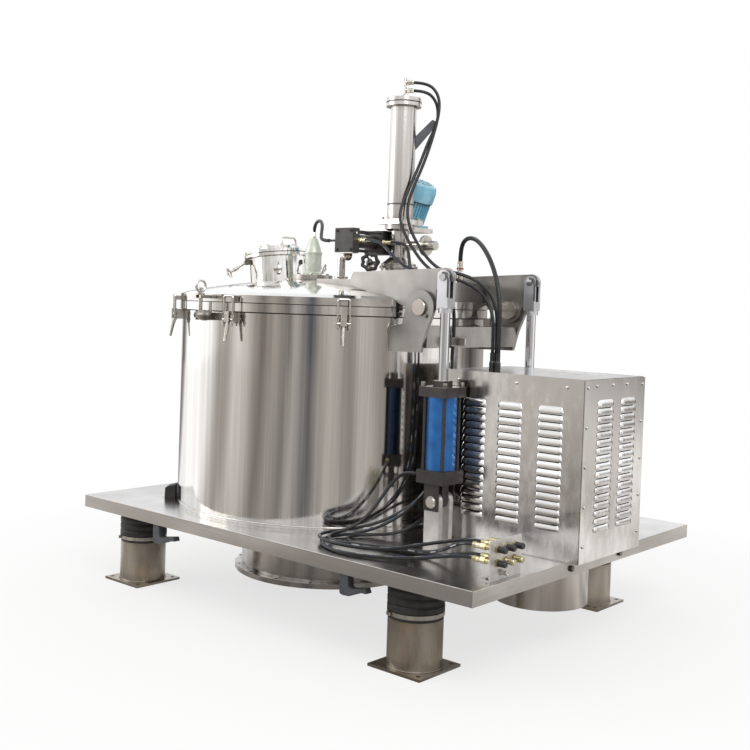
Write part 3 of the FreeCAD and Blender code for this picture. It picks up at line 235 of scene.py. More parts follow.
def add(tree, kind, links=None, settings=None, **inputs):
    """A node of this kind: settings are its properties, inputs its sockets' values by name."""
    made = tree.nodes.new(kind)
    for name, value in (settings or {}).items():
        setattr(made, name, value)
    for name, value in inputs.items():
        made.inputs[name.replace("_", " ")].default_value = value
    for name, socket in (links or {}).items():
        tree.links.new(socket, made.inputs[name])
    return made


def shades(tree, source, stops, interpolation="LINEAR"):
    """A colour ramp from (place, hex) pairs."""
    ramp = add(tree, "ShaderNodeValToRGB", {"Fac": source})
    band = ramp.color_ramp
    band.interpolation = interpolation
    while len(band.elements) < len(stops):
        band.elements.new(0.5)
    for element, (place, code) in zip(band.elements, stops):
        element.position, element.color = place, linear(code)
    return ramp.outputs["Color"]


def between(tree, source, low, high, start=0.0, end=1.0):
    """The source's range start to end, turned into low to high."""
    made = add(tree, "ShaderNodeMapRange", {"Value": source})
    for name, value in (("From Min", start), ("From Max", end), ("To Min", low), ("To Max", high)):
        made.inputs[name].default_value = value
    return made.outputs["Result"]


def sums(tree, first, second, share):
    """first times share, plus second."""
    made = add(tree, "ShaderNodeMath", settings={"operation": "MULTIPLY_ADD"})
    made.inputs[1].default_value = share
    tree.links.new(first, made.inputs[0])
    tree.links.new(second, made.inputs[2])
    return made.outputs[0]


def pattern(tree, size, stretch=(1, 1, 1), detail=3.0, rough=0.5):
    """Noise whose features are about size metres, drawn out along the axes with a larger stretch."""
    here = add(tree, "ShaderNodeTexCoord").outputs["Object"]
    spread = add(tree, "ShaderNodeMapping", {"Vector": here}, Scale=[1 / (size * s) for s in stretch])
    return add(tree, "ShaderNodeTexNoise", {"Vector": spread.outputs["Vector"]}, Scale=1.0,
               Detail=detail, Roughness=rough).outputs["Fac"]


def new_material(name):
    made = bpy.data.materials.new(name)
    made.use_nodes = True
    tree = made.node_tree
    return made, tree, tree.nodes["Principled BSDF"]


def paint_nodes(material, names):
    for name in names:
        mesh = nodes[name].data
        mesh.materials.clear()
        mesh.materials.append(material)


print("a mid grey,", linear("#808080")[0])

# %% [markdown]
# ## Polished stainless steel
#
# The casing, the lid and the cover are rolled from 304 sheet and polished to a mirror. What the
# eye sees is nearly all reflection, so the steel is fully metallic with low roughness and a very
# shallow waviness, which is what makes reflections in rolled sheet wander up and down the shell.
# Faint upright polishing marks vary the gloss. The same streaks run the base colour from a dark
# shade to a near-white: partly polishing marks, partly painted reflection streaks and highlights.

# %% Make polished stainless steel
def polished_sheet(name, marks, wave, tint="#CCC9C5", dark="#A19C97", gloss=(0.05, 0.15), depth=0.0012,
                   swell_size=0.22, streak_size=0.02, streak_highlight="#FBFAF8"):
    made, tree, skin = new_material(name)
    streak = pattern(tree, streak_size, marks, 4.0, 0.6)
    broad = pattern(tree, 0.25, marks, 2.0)
    both = sums(tree, streak, broad, 0.45)
    skin.inputs["Metallic"].default_value = 1.0
    # Base colour along the streaks, from dark to a near-white highlight: partly polishing marks, partly
    # painted reflection streaks.
    colour = shades(tree, between(tree, both, 0, 1, 0.45, 1.0), ((0.0, dark), (0.45, tint), (1.0, streak_highlight)))
    tree.links.new(colour, skin.inputs["Base Color"])
    tree.links.new(between(tree, streak, gloss[0], gloss[1], 0.3, 0.75), skin.inputs["Roughness"])
    swell = pattern(tree, swell_size, wave, 1.5, 0.4)
    dent = add(tree, "ShaderNodeBump", {"Height": swell}, Strength=1.0, Distance=depth)
    fine = add(tree, "ShaderNodeBump", {"Height": streak, "Normal": dent.outputs[0]}, Strength=0.25,
               Distance=0.0002)
    tree.links.new(fine.outputs[0], skin.inputs["Normal"])
    return made


shell_steel = polished_sheet("rolled_polished_304", (1, 1, 60), (1, 1, 3), dark="#ABA7A2", streak_highlight="#EFEDEB")
dome_steel = polished_sheet("spun_polished_304", (2.5, 2.5, 1), (1, 1, 1), gloss=(0.05, 0.14), depth=0.001,
                            dark="#BAB6B1", streak_highlight="#DDDAD6")
neck_steel = polished_sheet("turned_polished_304", (1, 1, 40), (1, 1, 3), tint="#C2BDB6", dark="#8F8881",
                            gloss=(0.06, 0.16), depth=0.0014, swell_size=0.05, streak_size=0.01)
panel_steel = polished_sheet("folded_polished_304", (2, 2, 4), (1.5, 1.5, 2), tint="#CAC7C3",
                             dark="#BDBAB6", gloss=(0.12, 0.24), depth=0.0034)
paint_nodes(shell_steel, ["casing_shell", "casing_rim", "casing_floor"])
paint_nodes(dome_steel, ["lid"])
paint_nodes(neck_steel, ["port_neck", "port_cover"])
paint_nodes(panel_steel, ["drive_cover"])
print("polished:", shell_steel.name, dome_steel.name, panel_steel.name)

# %% [markdown]
# ## Satin and brushed stainless steel
#
# The platform, brackets and turned parts have a ground finish. Its grit lines run one way, so
# two noises are drawn out along that way: fine ones for the lines, here a few times coarser than
# real grit scratches of 0.1 mm, and broad ones for the lighter and darker bands that a grinder
# leaves. A third noise, not drawn out, stands for handling marks.

# %% Make satin stainless steel
def ground_steel(name, along, tint, dark, gloss=(0.22, 0.36), line=0.006, band=0.05, marks=0.3,
                 depth=0.00006):
    made, tree, skin = new_material(name)
    grit = pattern(tree, line, along, 2.0, 0.4)
    broad = pattern(tree, band, along, 1.0, 0.4)
    cloud = pattern(tree, 0.16, (1, 1, 1), 3.0, 0.5)
    lines = sums(tree, grit, broad, 0.35)
    mixed = sums(tree, cloud, lines, marks)
    skin.inputs["Metallic"].default_value = 1.0
    low, high = 0.34 + 0.34 * marks, 1.01 + 0.66 * marks
    colour = shades(tree, between(tree, mixed, 0, 1, low, high), ((0.0, dark), (1.0, tint)))
    # Painted shade: the base colour darkens towards #45413D in corners and where parts meet, as ambient
    # occlusion finds them.
    corner = add(tree, "ShaderNodeAmbientOcclusion", {"Color": colour}, {"samples": 4}, Distance=0.035)
    painted_corner_shade = add(tree, "ShaderNodeMix", {0: between(tree, corner.outputs["AO"], 0.45, 1.0, 0.35, 0.95)},
                {"data_type": "RGBA"})
    painted_corner_shade.inputs[6].default_value = linear("#45413D")
    tree.links.new(colour, painted_corner_shade.inputs[7])
    tree.links.new(painted_corner_shade.outputs[2], skin.inputs["Base Color"])
    tree.links.new(between(tree, mixed, gloss[1], gloss[0], low, high), skin.inputs["Roughness"])
    fine = add(tree, "ShaderNodeBump", {"Height": grit}, Strength=0.4, Distance=depth)
    tree.links.new(fine.outputs[0], skin.inputs["Normal"])
    return made


platform_steel = ground_steel("ground_plate_304", (14, 14, 1), "#CBC8C4", "#ADA8A2", (0.18, 0.32), line=0.012,
                              band=0.09, marks=0.8)
bracket_steel = ground_steel("cut_plate_304", (8, 1, 8), "#B3B0AC", "#85827E", (0.22, 0.38), line=0.01,
                             band=0.1, marks=1.3)
satin_steel = ground_steel("turned_304", (1, 1, 60), "#D2CEC8", "#A8A29B", (0.16, 0.3))
column_steel = ground_steel("brushed_column_304", (1, 1, 90), "#DEDAD4", "#A09A92", (0.14, 0.26), line=0.009,
                            band=0.026, marks=0.1)
bright_steel = ground_steel("bright_bar_304", (1, 1, 8), "#E0DCD6", "#BEB8B0", (0.1, 0.2))
cast_steel = ground_steel("lost_wax_cast_304", (1, 1, 1), "#C6C1B8", "#979087", (0.3, 0.45), line=0.004,
                          band=0.02, depth=0.0002)
zinc_alloy = ground_steel("zinc_cast_fork", (1, 1, 1), "#CDCED1", "#B9BABD", (0.32, 0.42), line=0.004,
                          band=0.06, depth=0.0001)
dark_cast = ground_steel("dark_cast_304", (1, 1, 1), "#8D877E", "#5F5A53", (0.3, 0.42), line=0.005, band=0.03,
                         depth=0.0002)
paint_nodes(platform_steel, ["platform"])
paint_nodes(bracket_steel, ["lid_arms", "hinge_beam", "lid_deck"])
paint_nodes(satin_steel,
            ["outlet_neck", "spindle_housing", "basket", "drive_drum", "scraper_housing", "column_cap",
             "scraper_shaft", "lamp_pad", "clamp_lugs", "lid_hooks"])
paint_nodes(column_steel, ["scraper_column"])
paint_nodes(bright_steel, ["bail_left", "bail_middle", "bail_right", "far_bails", "ring_bolt"])
paint_nodes(cast_steel, ["clamp_levers"])
paint_nodes(zinc_alloy, ["fork_front", "fork_rear"])
print("ground:", platform_steel.name, "to", zinc_alloy.name)

# %% [markdown]
# ## Heat-tinted posts
#
# The foot posts are short lengths of rolled pipe welded to their sole plates. Welding leaves
# straw and brown tints in the oxide near the seam, which fade upwards. The colour follows the
# height above the floor, broken up by noise, with a duller band where the sole was cleaned.

# %% Make the heat-tinted pipe
heat_steel, tree, skin = new_material("heat_tinted_pipe")
skin.inputs["Metallic"].default_value = 1.0
rise = add(tree, "ShaderNodeSeparateXYZ",
           {"Vector": add(tree, "ShaderNodeTexCoord").outputs["Object"]}).outputs["Z"]
wander = sums(tree, pattern(tree, 0.05, (1, 1, 2), 4.0), rise, 0.05)
tint = shades(tree, between(tree, wander, 0, 1, 0.02, 0.26),
              ((0.0, "#978F85"), (0.12, "#9E978D"), (0.2, "#ABA396"), (0.26, "#B6AD9D"), (0.62, "#B0A99F"),
               (0.85, "#A79E91"), (1.0, "#8D857B")))
straw = shades(tree, pattern(tree, 0.09, (1, 1, 3), 2.0), ((0.52, "#FFFFFF"), (0.68, "#E3C48E")))
both = add(tree, "ShaderNodeMix", settings={"data_type": "RGBA", "blend_type": "MULTIPLY"})
both.inputs[0].default_value = 0.4
tree.links.new(tint, both.inputs[6])
tree.links.new(straw, both.inputs[7])
tree.links.new(both.outputs[2], skin.inputs["Base Color"])
rub = pattern(tree, 0.006, (1, 1, 14), 2.0, 0.5)
tree.links.new(between(tree, rub, 0.26, 0.4, 0.3, 0.7), skin.inputs["Roughness"])
paint_nodes(heat_steel, ["foot_posts"])
print("tinted up to", 0.26, "m")

# %% [markdown]
# ## Chromed rods, anodised barrels, paint, rubber and brass
#
# A piston rod is ground and hard-chromed: the brightest, bluest metal on the machine. The
# barrels are sleeves in blue anodised aluminium, a dyed oxide over satin metal, so they keep a
# metallic sheen under the colour. The end caps are cast and stoved black.

# %% Make the cylinder finishes
chrome, tree, skin = new_material("hard_chrome")
skin.inputs["Metallic"].default_value = 1.0
skin.inputs["Base Color"].default_value = linear("#DFE2E6")
tree.links.new(between(tree, pattern(tree, 0.01, (1, 1, 20)), 0.04, 0.1), skin.inputs["Roughness"])
paint_nodes(chrome, ["rod_front", "rod_rear"])


paint_cloud, peel_depth = 0.06, 0.00015  # metres: the size of a shade's wander, the height of orange peel


def painted(name, tint, dark, gloss, metallic=0.0, coat=0.0, grain=0.0015, mirrored=None):
    made, tree, skin = new_material(name)
    cloud = pattern(tree, paint_cloud, (1, 1, 1), 4.0)
    peel = pattern(tree, grain, (1, 1, 1), 2.0)
    colour = shades(tree, between(tree, cloud, 0, 1, 0.35, 0.65), ((0.0, dark), (1.0, tint)))
    # Painted shade in reflections: rays from polished metal see the mirrored colour, the part's shaded side.
    if mirrored:
        deep = add(tree, "ShaderNodeMix", {0: add(tree, "ShaderNodeLightPath").outputs["Is Glossy Ray"]},
                   {"data_type": "RGBA"})
        tree.links.new(colour, deep.inputs[6])
        deep.inputs[7].default_value = linear(mirrored)
        colour = deep.outputs[2]
    tree.links.new(colour, skin.inputs["Base Color"])
    tree.links.new(between(tree, cloud, gloss[1], gloss[0], 0.3, 0.7), skin.inputs["Roughness"])
    skin.inputs["Metallic"].default_value = metallic
    skin.inputs["Coat Weight"].default_value = coat
    skin.inputs["Coat Roughness"].default_value = 0.2
    fine = add(tree, "ShaderNodeBump", {"Height": peel}, Strength=0.6, Distance=peel_depth)
    tree.links.new(fine.outputs[0], skin.inputs["Normal"])
    return made


# The sleeve shows dark blue #17304F in reflections: painted shade for its side facing the casing.
blue_barrel = painted("blue_anodised_sleeve", "#2C74BC", "#1F5E9F", (0.24, 0.36), metallic=0.55, coat=0.3,
                      grain=0.004, mirrored="#17304F")
black_cast = painted("stoved_black_cast", "#34302D", "#242120", (0.35, 0.5))
black_rubber = painted("black_rubber", "#2B2826", "#1B1918", (0.5, 0.7), grain=0.002)
motor_blue = painted("light_blue_enamel", "#8FC4D8", "#74AEC6", (0.3, 0.42), coat=0.2)
lamp_grey = painted("grey_green_cast", "#D6DACE", "#BFC5B6", (0.35, 0.5), metallic=0.3)
brass = painted("nickelled_brass", "#D2C9A6", "#AD9F74", (0.2, 0.34), metallic=1.0, grain=0.001)
nickel = painted("nickel_plate", "#DAD7CD", "#B3AD9B", (0.18, 0.3), metallic=1.0, grain=0.001)
black_plastic = painted("black_moulding", "#1F1F21", "#141415", (0.3, 0.42), grain=0.001)
slate_plastic = painted("slate_moulding", "#4A4D52", "#37393D", (0.4, 0.55))
red_seal = painted("red_seal", "#9A3B2E", "#7C2C22", (0.4, 0.6))
paint_nodes(blue_barrel, ["tube_front", "tube_rear"])
paint_nodes(black_cast, ["caps_front", "caps_rear", "swing_cylinder"])
paint_nodes(black_rubber, ["lid_gasket", "foot_bellows"])
paint_nodes(motor_blue, ["swing_motor"])
paint_nodes(lamp_grey, ["lamp"])
paint_nodes(brass, ["couplings"])
paint_nodes(nickel, ["head_fittings"])
paint_nodes(black_plastic, ["glands"])
paint_nodes(cast_steel, ["foot_bands"])
bead_blasted = painted("bead_blasted_plate", "#D2D0CD", "#BEBBB7", (0.35, 0.45), metallic=0.6, grain=0.0008)
paint_nodes(bead_blasted, ["bulkhead", "lift_feet"])

# %% [markdown]
# ## Hose covers
#
# Hydraulic hose has a smooth black cover. The lines to the bulkhead have a stripe of plain white
# and blue dashes along one side, which the length along the tube and the way round it place.

# %% Make the hose covers
def hose_cover(name, printed=None):
    made, tree, skin = new_material(name)
    at = add(tree, "ShaderNodeSeparateXYZ",
             {"Vector": add(tree, "ShaderNodeUVMap", settings={"uv_map": "along"}).outputs[0]})
    weave = add(tree, "ShaderNodeMath", {0: at.outputs["X"]}, {"operation": "MULTIPLY"})
    weave.inputs[1].default_value = 900.0
    ridge = add(tree, "ShaderNodeMath", {0: weave.outputs[0]}, {"operation": "SINE"})
    cover = shades(tree, pattern(tree, 0.03, detail=3.0), ((0.3, "#101012"), (0.7, "#1B1B1D")))
    if printed:
        dash = add(tree, "ShaderNodeMath", {0: at.outputs["X"]}, {"operation": "FRACT"})
        scaled = add(tree, "ShaderNodeMath", {0: at.outputs["X"]}, {"operation": "MULTIPLY"})
        scaled.inputs[1].default_value = 7.5
        tree.links.new(scaled.outputs[0], dash.inputs[0])
        stripe = shades(tree, dash.outputs[0],
                        ((0.0, printed[0]), (0.26, "#2A2A2D"), (0.4, printed[1]), (0.62, "#2A2A2D")),
                        "CONSTANT")
        centre = add(tree, "ShaderNodeMath", {0: at.outputs["Y"]}, {"operation": "PINGPONG"})
        centre.inputs[1].default_value = 0.5
        there = add(tree, "ShaderNodeMath", {0: centre.outputs[0]}, {"operation": "GREATER_THAN"})
        there.inputs[1].default_value = 0.455
        mixed = add(tree, "ShaderNodeMix", {0: there.outputs[0]}, {"data_type": "RGBA"})
        tree.links.new(cover, mixed.inputs[6])
        tree.links.new(stripe, mixed.inputs[7])
        cover = mixed.outputs[2]
    tree.links.new(cover, skin.inputs["Base Color"])
    skin.inputs["Roughness"].default_value = 0.42
    skin.inputs["Specular IOR Level"].default_value = 0.4
    fine = add(tree, "ShaderNodeBump", {"Height": ridge.outputs[0]}, Strength=0.15, Distance=0.0003)
    tree.links.new(fine.outputs[0], skin.inputs["Normal"])
    return made


covers = {"hose_swing_front": hose_cover("blue_dashed_cover", ("#D5D9DD", "#3F78B4")),
          "hose_swing_rear": hose_cover("grey_dashed_cover", ("#9EA3A8", "#3A3B3E")),
          "hose_lift_front": hose_cover("white_dashed_cover", ("#C3C7CB", "#6E7377"))}
plain_cover = hose_cover("black_hose_cover")
for name, made in lines.items():
    made.data.materials.append(covers.get(name, plain_cover))
print("finishes so far:", len(bpy.data.materials))

# %% [markdown]
# ## Tools for small hardware
#
# Bolts, screws and louvres come in numbers. Each kind of bolt and screw is modelled once and
# Geometry Nodes sets copies of it on points. Every point carries the turn that points the copy
# along its surface's outward direction. The result is kept as a plain mesh.

# %% Tools for making pieces
def stand_at(x, y, z):
    """The placing of a piece that stands upright here."""
    return Matrix.Translation((x, y, z))


def about(axis, degrees):
    return Matrix.Rotation(math.radians(degrees), 4, axis)


def on_circle(x, y, z, radius, angles):
    """Upright places round a centre, as repeat reads them."""
    return [((x + radius * math.cos(math.radians(a)), y + radius * math.sin(math.radians(a)), z), (0, 0, 1))
            for a in angles]


def finish_piece(name, mesh, material, body, angle=35):
    mesh.materials.clear()
    mesh.materials.append(material)
    mesh.shade_smooth()
    mesh.set_sharp_from_angle(angle=math.radians(angle))
    made = bpy.data.objects.new(name, mesh)
    bpy.context.scene.collection.objects.link(made)
    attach(made, body)
    return made


def mesh_from(name, verts, faces, where=None):
    mesh = bpy.data.meshes.new(name)
    mesh.from_pydata([tuple(v) for v in verts], [], faces)
    shell = bmesh.new()
    shell.from_mesh(mesh)
    bmesh.ops.recalc_face_normals(shell, faces=shell.faces)
    shell.to_mesh(mesh)
    shell.free()
    if where is not None:
        mesh.transform(where)
    return mesh


def lathe(name, profile, steps=32, where=None, closed=False):
    """Mesh turned about Z from (radius, height) points, in metres; a radius of 0 closes an end."""
    verts, faces, rows = [], [], []
    for radius, height in profile:
        if radius < 1e-7:
            rows.append([len(verts)] * steps)
            verts.append((0, 0, height))
        else:
            rows.append(list(range(len(verts), len(verts) + steps)))
            verts += [(radius * math.cos(2 * math.pi * k / steps),
                       radius * math.sin(2 * math.pi * k / steps), height) for k in range(steps)]
    pairs = list(zip(rows, rows[1:])) + ([(rows[-1], rows[0])] if closed else [])
    for low, high in pairs:
        for k in range(steps):
            n = (k + 1) % steps
            ring = list(dict.fromkeys((low[k], low[n], high[n], high[k])))
            if len(ring) > 2:
                faces.append(ring)
    return mesh_from(name, verts, faces, where)


def along(start, end):
    """The placing that stands a piece on start with its Z toward end."""
    start, end = Vector(start), Vector(end)
    return Matrix.Translation(start) @ (end - start).to_track_quat("Z", "Y").to_matrix().to_4x4()


def box_mesh(name, low, high, bevel=0.0, where=None):
    shell = bmesh.new()
    bmesh.ops.create_cube(shell, size=1.0)
    for v in shell.verts:
        v.co = Vector([low[i] + (v.co[i] + 0.5) * (high[i] - low[i]) for i in range(3)])
    if bevel:
        bmesh.ops.bevel(shell, geom=list(shell.edges), offset=bevel, segments=2, affect="EDGES")
    mesh = bpy.data.meshes.new(name)
    shell.to_mesh(mesh)
    shell.free()
    if where is not None:
        mesh.transform(where)
    return mesh


def joined(name, *parts):
    shell = bmesh.new()
    for part in parts:
        shell.from_mesh(part)
    mesh = bpy.data.meshes.new(name)
    shell.to_mesh(mesh)
    shell.free()
    return mesh


def wire(name, points, radius, sides=10, smooth=6):
    """A round bar through points, its corners eased by a Catmull-like spacing of the bend."""
    spots = [Vector(p) for p in points]
    line = [spots[0]]
    for before, here, after in zip(spots, spots[1:], spots[2:]):
        room = 0.42 * min((here - before).length, (after - here).length)
        a, b = here + (before - here).normalized() * room, here + (after - here).normalized() * room
        line += [(1 - t) ** 2 * a + 2 * t * (1 - t) * here + t * t * b
                 for t in (k / smooth for k in range(smooth + 1))]
    line.append(spots[-1])
    verts, faces, side = [], [], None
    for i, point in enumerate(line):
        way = (line[min(i + 1, len(line) - 1)] - line[max(i - 1, 0)]).normalized()
        side = way.orthogonal().normalized() if side is None else (side - way * side.dot(way)).normalized()
        other = way.cross(side)
        verts += [point + radius * (math.cos(a) * side + math.sin(a) * other)
                  for a in (2 * math.pi * k / sides for k in range(sides))]
    for i in range(len(line) - 1):
        for k in range(sides):
            n = (k + 1) % sides
            faces.append((i * sides + k, i * sides + n, (i + 1) * sides + n, (i + 1) * sides + k))
    faces += [tuple(range(sides)), tuple((len(line) - 1) * sides + k for k in range(sides))]
    return mesh_from(name, verts, faces)


def prism(name, corners, low, high, where=None):
    """A plate with the given outline in its own XY plane, from low to high."""
    count = len(corners)
    verts = [(x, y, low) for x, y in corners] + [(x, y, high) for x, y in corners]
    faces = [tuple(range(count)), tuple(range(count, 2 * count))]
    faces += [(k, (k + 1) % count, count + (k + 1) % count, count + k) for k in range(count)]
    return mesh_from(name, verts, faces, where)


def hexagon(across, turn=0.0):
    reach = across / math.sqrt(3)
    return [(reach * math.cos(math.radians(60 * k) + turn), reach * math.sin(math.radians(60 * k) + turn))
            for k in range(6)]


def stand_in_group(name):
    """Geometry Nodes: the copy that the socket names, set on every point and turned by its attribute."""
    tree = bpy.data.node_groups.new(name, "GeometryNodeTree")
    tree.interface.new_socket("Geometry", in_out="INPUT", socket_type="NodeSocketGeometry")
    shape = tree.interface.new_socket("Copy", in_out="INPUT", socket_type="NodeSocketObject")
    finish = tree.interface.new_socket("Finish", in_out="INPUT", socket_type="NodeSocketMaterial")
    tree.interface.new_socket("Geometry", in_out="OUTPUT", socket_type="NodeSocketGeometry")
    start, end = tree.nodes.new("NodeGroupInput"), tree.nodes.new("NodeGroupOutput")
    read = add(tree, "GeometryNodeObjectInfo", {"Object": start.outputs["Copy"]})
    turn = add(tree, "GeometryNodeInputNamedAttribute", settings={"data_type": "FLOAT_VECTOR"}, Name="turn")
    copies = add(tree, "GeometryNodeInstanceOnPoints",
                 {"Points": start.outputs["Geometry"], "Instance": read.outputs["Geometry"],
                  "Rotation": turn.outputs["Attribute"]})
    real = add(tree, "GeometryNodeRealizeInstances", {"Geometry": copies.outputs["Instances"]})
    coat = add(tree, "GeometryNodeSetMaterial",
               {"Geometry": real.outputs["Geometry"], "Material": start.outputs["Finish"]})
    tree.links.new(coat.outputs["Geometry"], end.inputs["Geometry"])
    return tree, shape.identifier, finish.identifier


copier, copy_socket, finish_socket = stand_in_group("set_copies_on_points")


def repeat(name, shape, places, material, body):
    """Copies of a mesh at (point, outward direction) places, as one piece that rides on body."""
    model = bpy.data.objects.new(name + "_one", shape)
    bpy.context.scene.collection.objects.link(model)
    dots = bpy.data.meshes.new(name + "_dots")
    dots.from_pydata([tuple(p) for p, _ in places], [], [])
    turns = dots.attributes.new("turn", "FLOAT_VECTOR", "POINT")
    for slot, (_, way) in zip(turns.data, places):
        slot.vector = tuple(Vector(way).to_track_quat("Z", "Y").to_euler())
    holder = bpy.data.objects.new(name + "_holder", dots)
    bpy.context.scene.collection.objects.link(holder)
    step = holder.modifiers.new("copies", "NODES")
    step.node_group = copier
    step[copy_socket], step[finish_socket] = model, material
    bpy.context.view_layer.update()
    mesh = bpy.data.meshes.new_from_object(holder.evaluated_get(bpy.context.evaluated_depsgraph_get()))
    mesh.name = name
    holder.modifiers.remove(step)
    bpy.data.objects.remove(holder)
    bpy.data.objects.remove(model)
    return finish_piece(name, mesh, material, body)


def hex_bolt(across, high, washer=True):
    """A bolt head with its chamfer and washer, standing on its seat."""
    low = 0.002 if washer else 0.0
    head = prism("head", hexagon(across), low, low + high * 0.86)
    top = lathe("crown", ((across * 0.53, low + high * 0.86), (across * 0.44, low + high), (0, low + high)),
                6)
    parts = [head, top]
    if washer:
        parts.append(lathe("washer", ((0, 0), (across * 0.95, 0), (across * 0.95, 0.002), (0, 0.002)), 20))
    return joined("hex_bolt", *parts)


def pan_screw(radius):
    """A pan head, standing on its seat."""
    return lathe("pan",
                 ((radius, 0), (radius, radius * 0.25), (radius * 0.82, radius * 0.6),
                  (radius * 0.4, radius * 0.74), (0, radius * 0.76)), 18)


def socket_screw(radius, high):
    return lathe("cap_screw", ((radius, 0), (radius, high * 0.9), (radius * 0.9, high), (radius * 0.52, high),
                               (radius * 0.52, high * 0.5), (0, high * 0.5)), 18)


def weld_ring(name, centre, radius, size, material, body, ripples=220, where=None):
    """A weld bead round a joint: a small torus whose height ripples like stacked coins."""
    verts, faces, sides, steps = [], [], 6, ripples * 2
    for i in range(steps):
        a = math.radians(360.0 * i / steps)
        bead = size * (1.0 + 0.16 * (1 if i % 2 else -1))
        for k in range(sides):
            b = 2 * math.pi * k / sides
            reach = radius + bead * math.cos(b)
            verts.append((centre[0] + reach * math.cos(a), centre[1] + reach * math.sin(a),
                          centre[2] + bead * math.sin(b)))
    for i in range(steps):
        for k in range(sides):
            n, j = (k + 1) % sides, (i + 1) % steps
            faces.append((i * sides + k, i * sides + n, j * sides + n, j * sides + k))
    return finish_piece(name, mesh_from(name, verts, faces, where), material, body, 80)


print("tools ready")

# %% [markdown]
# ## The louvred cover
#
# The cover over the drive is folded from sheet. Its louvres are lanced and pressed outward:
# each is a hood that starts flush at its top edge, swells with rounded ends and stops in an open
# mouth that faces down. Seen from outside, the hood mirrors the sky and the mouth is a dark line.
# The panel on the right is a separate sheet held with pan-head screws.

# %% Make the louvred cover
cover_low, cover_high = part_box("drive_cover")
left, top, bottom = cover_low[0], cover_high[2], cover_low[2]
front, back = -0.270, 0.270
right_face = 1.328
sheet_side = box_mesh("cover_sheets", (left, front, bottom), (right_face - 0.004, back, top), 0.003)
cover_body = finish_piece("drive_cover_sheets", sheet_side, panel_steel, "frame")
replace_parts(cover_body, "drive_cover")
finish_piece("drive_cover_end_panel",
             box_mesh("end_panel", (right_face - 0.0035, front - 0.004, bottom + 0.004),
                      (right_face, back + 0.004, top - 0.003), 0.0008), panel_steel, "frame")
hood_width, hood_high, hood_out = 0.132, 0.0275, 0.0095


def louvre_hood():
    """One hood in its own frame: X across, Y up the panel, Z outward, its mouth at Y 0."""
    across, rows = 18, 7
    verts, faces = [], []
    for j in range(rows + 1):
        up = j / rows
        for i in range(across + 1):
            x = -1 + 2 * i / across
            shut = max(0.0, (abs(x) - 0.86) / 0.14)
            crown = math.sqrt(max(0.0, 1 - shut ** 2))
            rise = (1 - up ** 2.2) ** 0.6
            narrow = 1 - 0.05 * up
            verts.append((x * narrow * hood_width / 2, up * hood_high * (0.55 + 0.45 * crown),
                          hood_out * crown * rise + 0.0002))
    for j in range(rows):
        for i in range(across):
            a = j * (across + 1) + i
            faces.append((a, a + 1, a + across + 2, a + across + 1))
    return mesh_from("hood", verts, faces)


def louvre_mouth():
    """The dark opening under a hood: a half-moon strip just proud of the sheet, dark as painted shade for the
    shaded inside, with a thin flat strip below it as the hood's painted shadow on the sheet.
    """
    half = hood_width / 2 * 0.97
    deep = hood_out * 0.9
    ring = [(-half, 0, 0.0003), (half, 0, 0.0003), (half * 0.86, 0, deep), (-half * 0.86, 0, deep)]
    shade = [(-half, -0.0022, 0.0003), (half, -0.0022, 0.0003), (half, 0.0004, 0.0003),
             (-half, 0.0004, 0.0003)]
    return mesh_from("mouth", ring + shade, [(0, 1, 2, 3), (4, 5, 6, 7)])


hood_steel = polished_sheet("pressed_hood_304", (30, 1, 1), (1, 1, 1), tint="#C9C6C2", dark="#A8A4A0",
                            gloss=(0.1, 0.2), depth=0.0006, swell_size=0.05)
# One near-black finish for dark joints and gaps, and for painted shade: the louvre mouths, the motor cowl's
# slots and the shadow under the casing's rim.
joint_and_shade_black, tree, skin = new_material("dark_joint_and_painted_shade")
tree.links.new(shades(tree, pattern(tree, 0.02), ((0.3, "#0E0D0C"), (0.7, "#1C1A18"))),
               skin.inputs["Base Color"])
skin.inputs["Roughness"].default_value = 0.8
pitch = 0.0345
length = right_face - left
side_turn = about("X", 90)
end_turn = Matrix(((0, 0, 1, 0), (1, 0, 0, 0), (0, 1, 0, 0), (0, 0, 0, 1)))


def louvre_rows(label, base, turn, count, first):
    points = []
    for column in base:
        for row in range(count):
            points.append((column[0], column[1], first + pitch * row))
    hoods, mouths = [], []
    for spot in points:
        for kind, store in ((louvre_hood(), hoods), (louvre_mouth(), mouths)):
            kind.transform(Matrix.Translation(spot) @ turn)
            store.append(kind)
    finish_piece(label + "_hoods", joined(label + "_hoods", *hoods), hood_steel, "frame", 60)
    finish_piece(label + "_mouths", joined(label + "_mouths", *mouths), joint_and_shade_black, "frame", 60)


print("cover", round(length, 3), "m long,", round(top - bottom, 3), "m high")

louvre_low = 0.573
for across in (0.231, 0.4925, 0.775):
    louvre_rows("side_%d" % round(across * 100), [(left + length * across, front)], side_turn, 16, louvre_low)
for across in (0.33, 0.71):
    louvre_rows("end_%d" % round(across * 100), [(right_face, front + 0.54 * across)], end_turn, 17,
                louvre_low)

